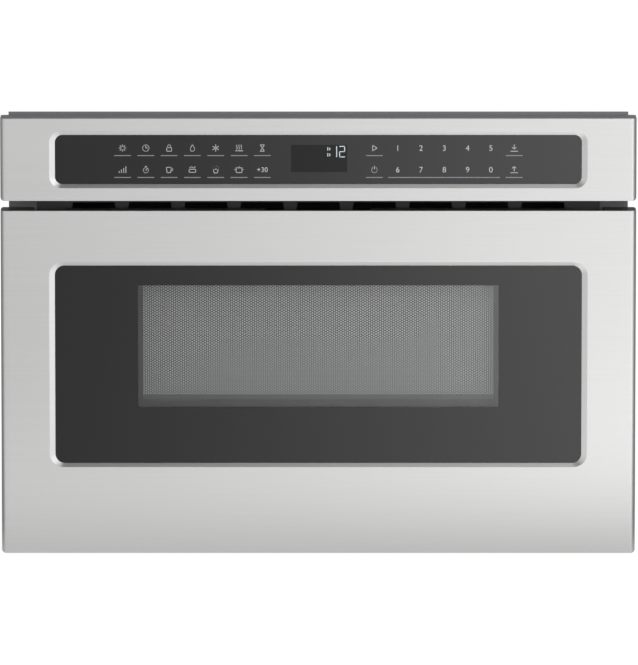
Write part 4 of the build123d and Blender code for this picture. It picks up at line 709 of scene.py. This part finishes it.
begin_print("panel_underlines", underline_ink)
for row in (UPPER_LINE, LOWER_LINE):
    for column in [-c for c in COLUMNS] + [COLUMNS[0], COLUMNS[6]]:
        stroke([(column - LINE_REACH, row), (column + LINE_REACH, row)], width=LINE_WIDTH)
digits_line = (COLUMNS[1] - DIGITS_LINE_LEFT, COLUMNS[5] + DIGITS_LINE_RIGHT)
stroke([(x, LOWER_LINE) for x in digits_line], width=LINE_WIDTH)
underlines = end_print()


def digits(text, x, z, height):
    """Printed digits, centred on a place, as a flat mesh of the same ink."""
    deselect()
    bpy.ops.object.text_add()
    label = bpy.context.object
    label.data.body = text
    label.data.size = height * MM / FIGURE_SHARE
    label.data.align_x = "CENTER"
    bpy.ops.object.convert(target="MESH")
    label = bpy.context.object
    label.location = (x * MM, (z - height / 2) * MM, 0)
    settle()
    return label


labels = [digits("+30", -COLUMNS[0], LOWER, LABEL_HEIGHT)]
for number in range(10):
    row = UPPER if number < 5 else LOWER
    labels.append(digits(str((number + 1) % 10), COLUMNS[1 + number % 5], row, DIGIT_HEIGHT))
deselect()
for label in labels:
    label.select_set(True)
bpy.context.view_layer.objects.active = labels[0]
bpy.ops.object.join()
named("panel_digits", mark_ink)
key_digits = end_print()

# The display's window, a black film, and its lit segments: two ticks and the hour
display_plate = slab(
    "display_window", (-26.1, 27.4), (INK_PLANE - 0.02, INK_PLANE + 0.03), (343.6, 369.8), display_film
)
rounded_edges(display_plate, 0.02, 1)
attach(display_plate, "chassis")
begin_print("display_segments", display_ink)
for base in (365.9, 360.3):
    stroke([(8.9, base + 1.3), (8.9, base - 1.3)], width=0.7)
    stroke([(10.2, base + 1.0), (11.6, base), (10.2, base - 1.0)], width=0.6)
stroke([(17.4, 368.2), (17.4, 358.3)], width=LINE_WIDTH)
stroke(
    [(20.2, 368.3), (25.0, 368.3), (25.0, 363.3), (20.2, 363.3), (20.2, 358.2), (25.0, 358.2)],
    width=LINE_WIDTH,
)
segments = end_print(INK_PLANE - 0.03)

# ------------------------------------------------------------------ the camera, the lamps and the floor

# A long lens from a little above, so that the gap's louvre shows and the chassis's top doesn't. The aim and
# the distance are in metres.
ELEVATION = math.radians(8.0)
DISTANCE = 9.0
VIEW_WIDTH = 0.6351  # what the view spans at the fronts
SENSOR_WIDTH = 36.0
aim = Vector((0.0006, -0.313, 0.1896))
camera_data = bpy.data.cameras.new("camera")
camera = bpy.data.objects.new("camera", camera_data)
bpy.context.scene.collection.objects.link(camera)
camera.location = aim + Vector((0, -math.cos(ELEVATION), math.sin(ELEVATION))) * DISTANCE
camera.rotation_euler = (math.radians(90.0) - ELEVATION, 0, 0)
camera_data.sensor_width = SENSOR_WIDTH
camera_data.lens = SENSOR_WIDTH * DISTANCE / VIEW_WIDTH
camera_data.clip_end = 60.0
bpy.context.scene.camera = camera


def softbox(name, place, target, width, height, watts):
    """A rectangular lamp that faces a point."""
    lamp = bpy.data.lights.new(name, "AREA")
    lamp.shape = "RECTANGLE"
    lamp.size = width
    lamp.size_y = height
    lamp.energy = watts
    holder = bpy.data.objects.new(name, lamp)
    bpy.context.scene.collection.objects.link(holder)
    holder.location = place
    holder.rotation_euler = (Vector(target) - Vector(place)).to_track_quat("-Z", "Y").to_euler()


softbox("key_right", (1.6, -2.6, 1.1), (0.0, -0.3, 0.2), 1.6, 1.6, 17.0)
softbox("fill_left", (-2.2, -2.0, 1.2), (0.0, -0.3, 0.2), 1.4, 1.4, 6.0)
softbox("top", (0.0, 0.5, 2.6), (0.0, 0.1, 0.2), 2.4, 2.4, 16.0)
softbox("high_right", (0.75, -1.3, 1.35), (0.25, -0.31, 0.2), 1.4, 0.9, 6.0)

# The world: white where it is seen. Polished surfaces see it darken upwards, as under a studio's dark
# ceiling, and away from the front.
AMBIENT = 0.67
world = bpy.data.worlds.new("studio")
bpy.context.scene.world = world
world.use_nodes = True
sky = world.node_tree
sky.nodes.clear()
path = add(sky, "ShaderNodeLightPath").outputs
direction = add(sky, "ShaderNodeSeparateXYZ", {"Vector": add(sky, "ShaderNodeTexCoord").outputs["Generated"]})
dusk = smooth_step(sky, direction.outputs["Z"], 0.1, 0.6, 1.45, 0.03)
sides = smooth_step(sky, direction.outputs["Y"], -0.7, -0.35, 1.0, 0.28)
light = glow(sky, "ShaderNodeBackground", AMBIENT)
mirrored = glow(sky, "ShaderNodeBackground", math_of(sky, "MULTIPLY", dusk, sides))
white = glow(sky, "ShaderNodeBackground", 1.0)
seen = math_of(sky, "MAXIMUM", path["Is Camera Ray"], path["Is Transmission Ray"])
unseen_sky = mixed(sky, path["Is Glossy Ray"], light, mirrored)
add(sky, "ShaderNodeOutputWorld", {"Surface": mixed(sky, seen, unseen_sky, white)})

# The floor: pale and plain. The camera sees it white, with the object's shadow kept. Polished surfaces see a
# pool of light on it, brighter to the right and near the fronts. Places on it are in metres.
FLOOR_SIZE = 60.0
FLOOR_DROP = 0.6  # under the object
FLOOR_WHITE = 1.12
FLOOR_SHARE = 0.8  # how much of what the camera sees is that white, and not the lit surface
FRONT_Y = -0.31
SIDE_X = 0.3
NEAREST = 0.05
deselect()
bpy.ops.mesh.primitive_plane_add(size=FLOOR_SIZE, location=(0, 0, cad_low.z - FLOOR_DROP * MM))
settle()
pale_floor, floor_tree, floor_shader = finish_of("pale_studio_floor", Base_Color="#F4F4F3", Roughness=0.7)
floor_path = add(floor_tree, "ShaderNodeLightPath").outputs
floor_where = add(floor_tree, "ShaderNodeTexCoord").outputs["Object"]
floor_place = add(floor_tree, "ShaderNodeSeparateXYZ", {"Vector": floor_where})


def floor_ramp(value, start, end, low, high):
    """A smooth step on the floor between two places."""
    return smooth_step(floor_tree, value, start, end, low, high)


def floor_math(operation, *values):
    """One sum on the floor's numbers."""
    return math_of(floor_tree, operation, *values)


floor_x, floor_y = floor_place.outputs["X"], floor_place.outputs["Y"]
across = floor_math("ABSOLUTE", floor_x)
rise = floor_ramp(floor_x, -0.38, 0.6, -0.54, 0.93)
spread = floor_ramp(across, 0.6, 1.2, 1.0, 0.15)
band_start = floor_ramp(floor_y, -5.0, -3.6, 0.0, 1.0)
band_end = floor_ramp(floor_y, -0.75, -0.45, 1.0, 0.0)
band = floor_math("MULTIPLY", band_start, band_end)
far = floor_ramp(floor_y, -8.0, -4.0, 1.7, 1.2)
pool = floor_math("MULTIPLY_ADD", floor_math("MULTIPLY", rise, spread), band, far)
shine = floor_ramp(floor_y, -0.78, -0.66, 1.0, 1.9)
# Painted shade: the pool dims close in front of the object, where the object's shade falls on the floor
under = floor_ramp(floor_y, -0.6, -0.42, 1.0, 0.4)
near = floor_math("MULTIPLY", shine, under)
# The steel at the fronts' sides sees past the object's corners, where the floor is darker
ahead = floor_math("MAXIMUM", floor_math("SUBTRACT", FRONT_Y, floor_y), NEAREST)
aside = floor_math("DIVIDE", floor_math("SUBTRACT", across, SIDE_X), ahead)
beside = floor_ramp(aside, 0.9, 1.5, 1.0, 0.35)
pool_light = floor_math("MULTIPLY", floor_math("MULTIPLY", pool, near), beside)
floor_white = glow(floor_tree, "ShaderNodeEmission", FLOOR_WHITE)
floor_pool = glow(floor_tree, "ShaderNodeEmission", pool_light)
floor_share = floor_math("MULTIPLY", floor_path["Is Camera Ray"], FLOOR_SHARE)
floor_seen = mixed(floor_tree, floor_share, floor_shader.outputs[0], floor_white)
floor_mix = mixed(floor_tree, floor_path["Is Glossy Ray"], floor_seen, floor_pool)
floor_tree.links.new(floor_mix, floor_tree.nodes["Material Output"].inputs["Surface"])
floor = named("floor", pale_floor)

bpy.context.scene.view_settings.view_transform = "Standard"
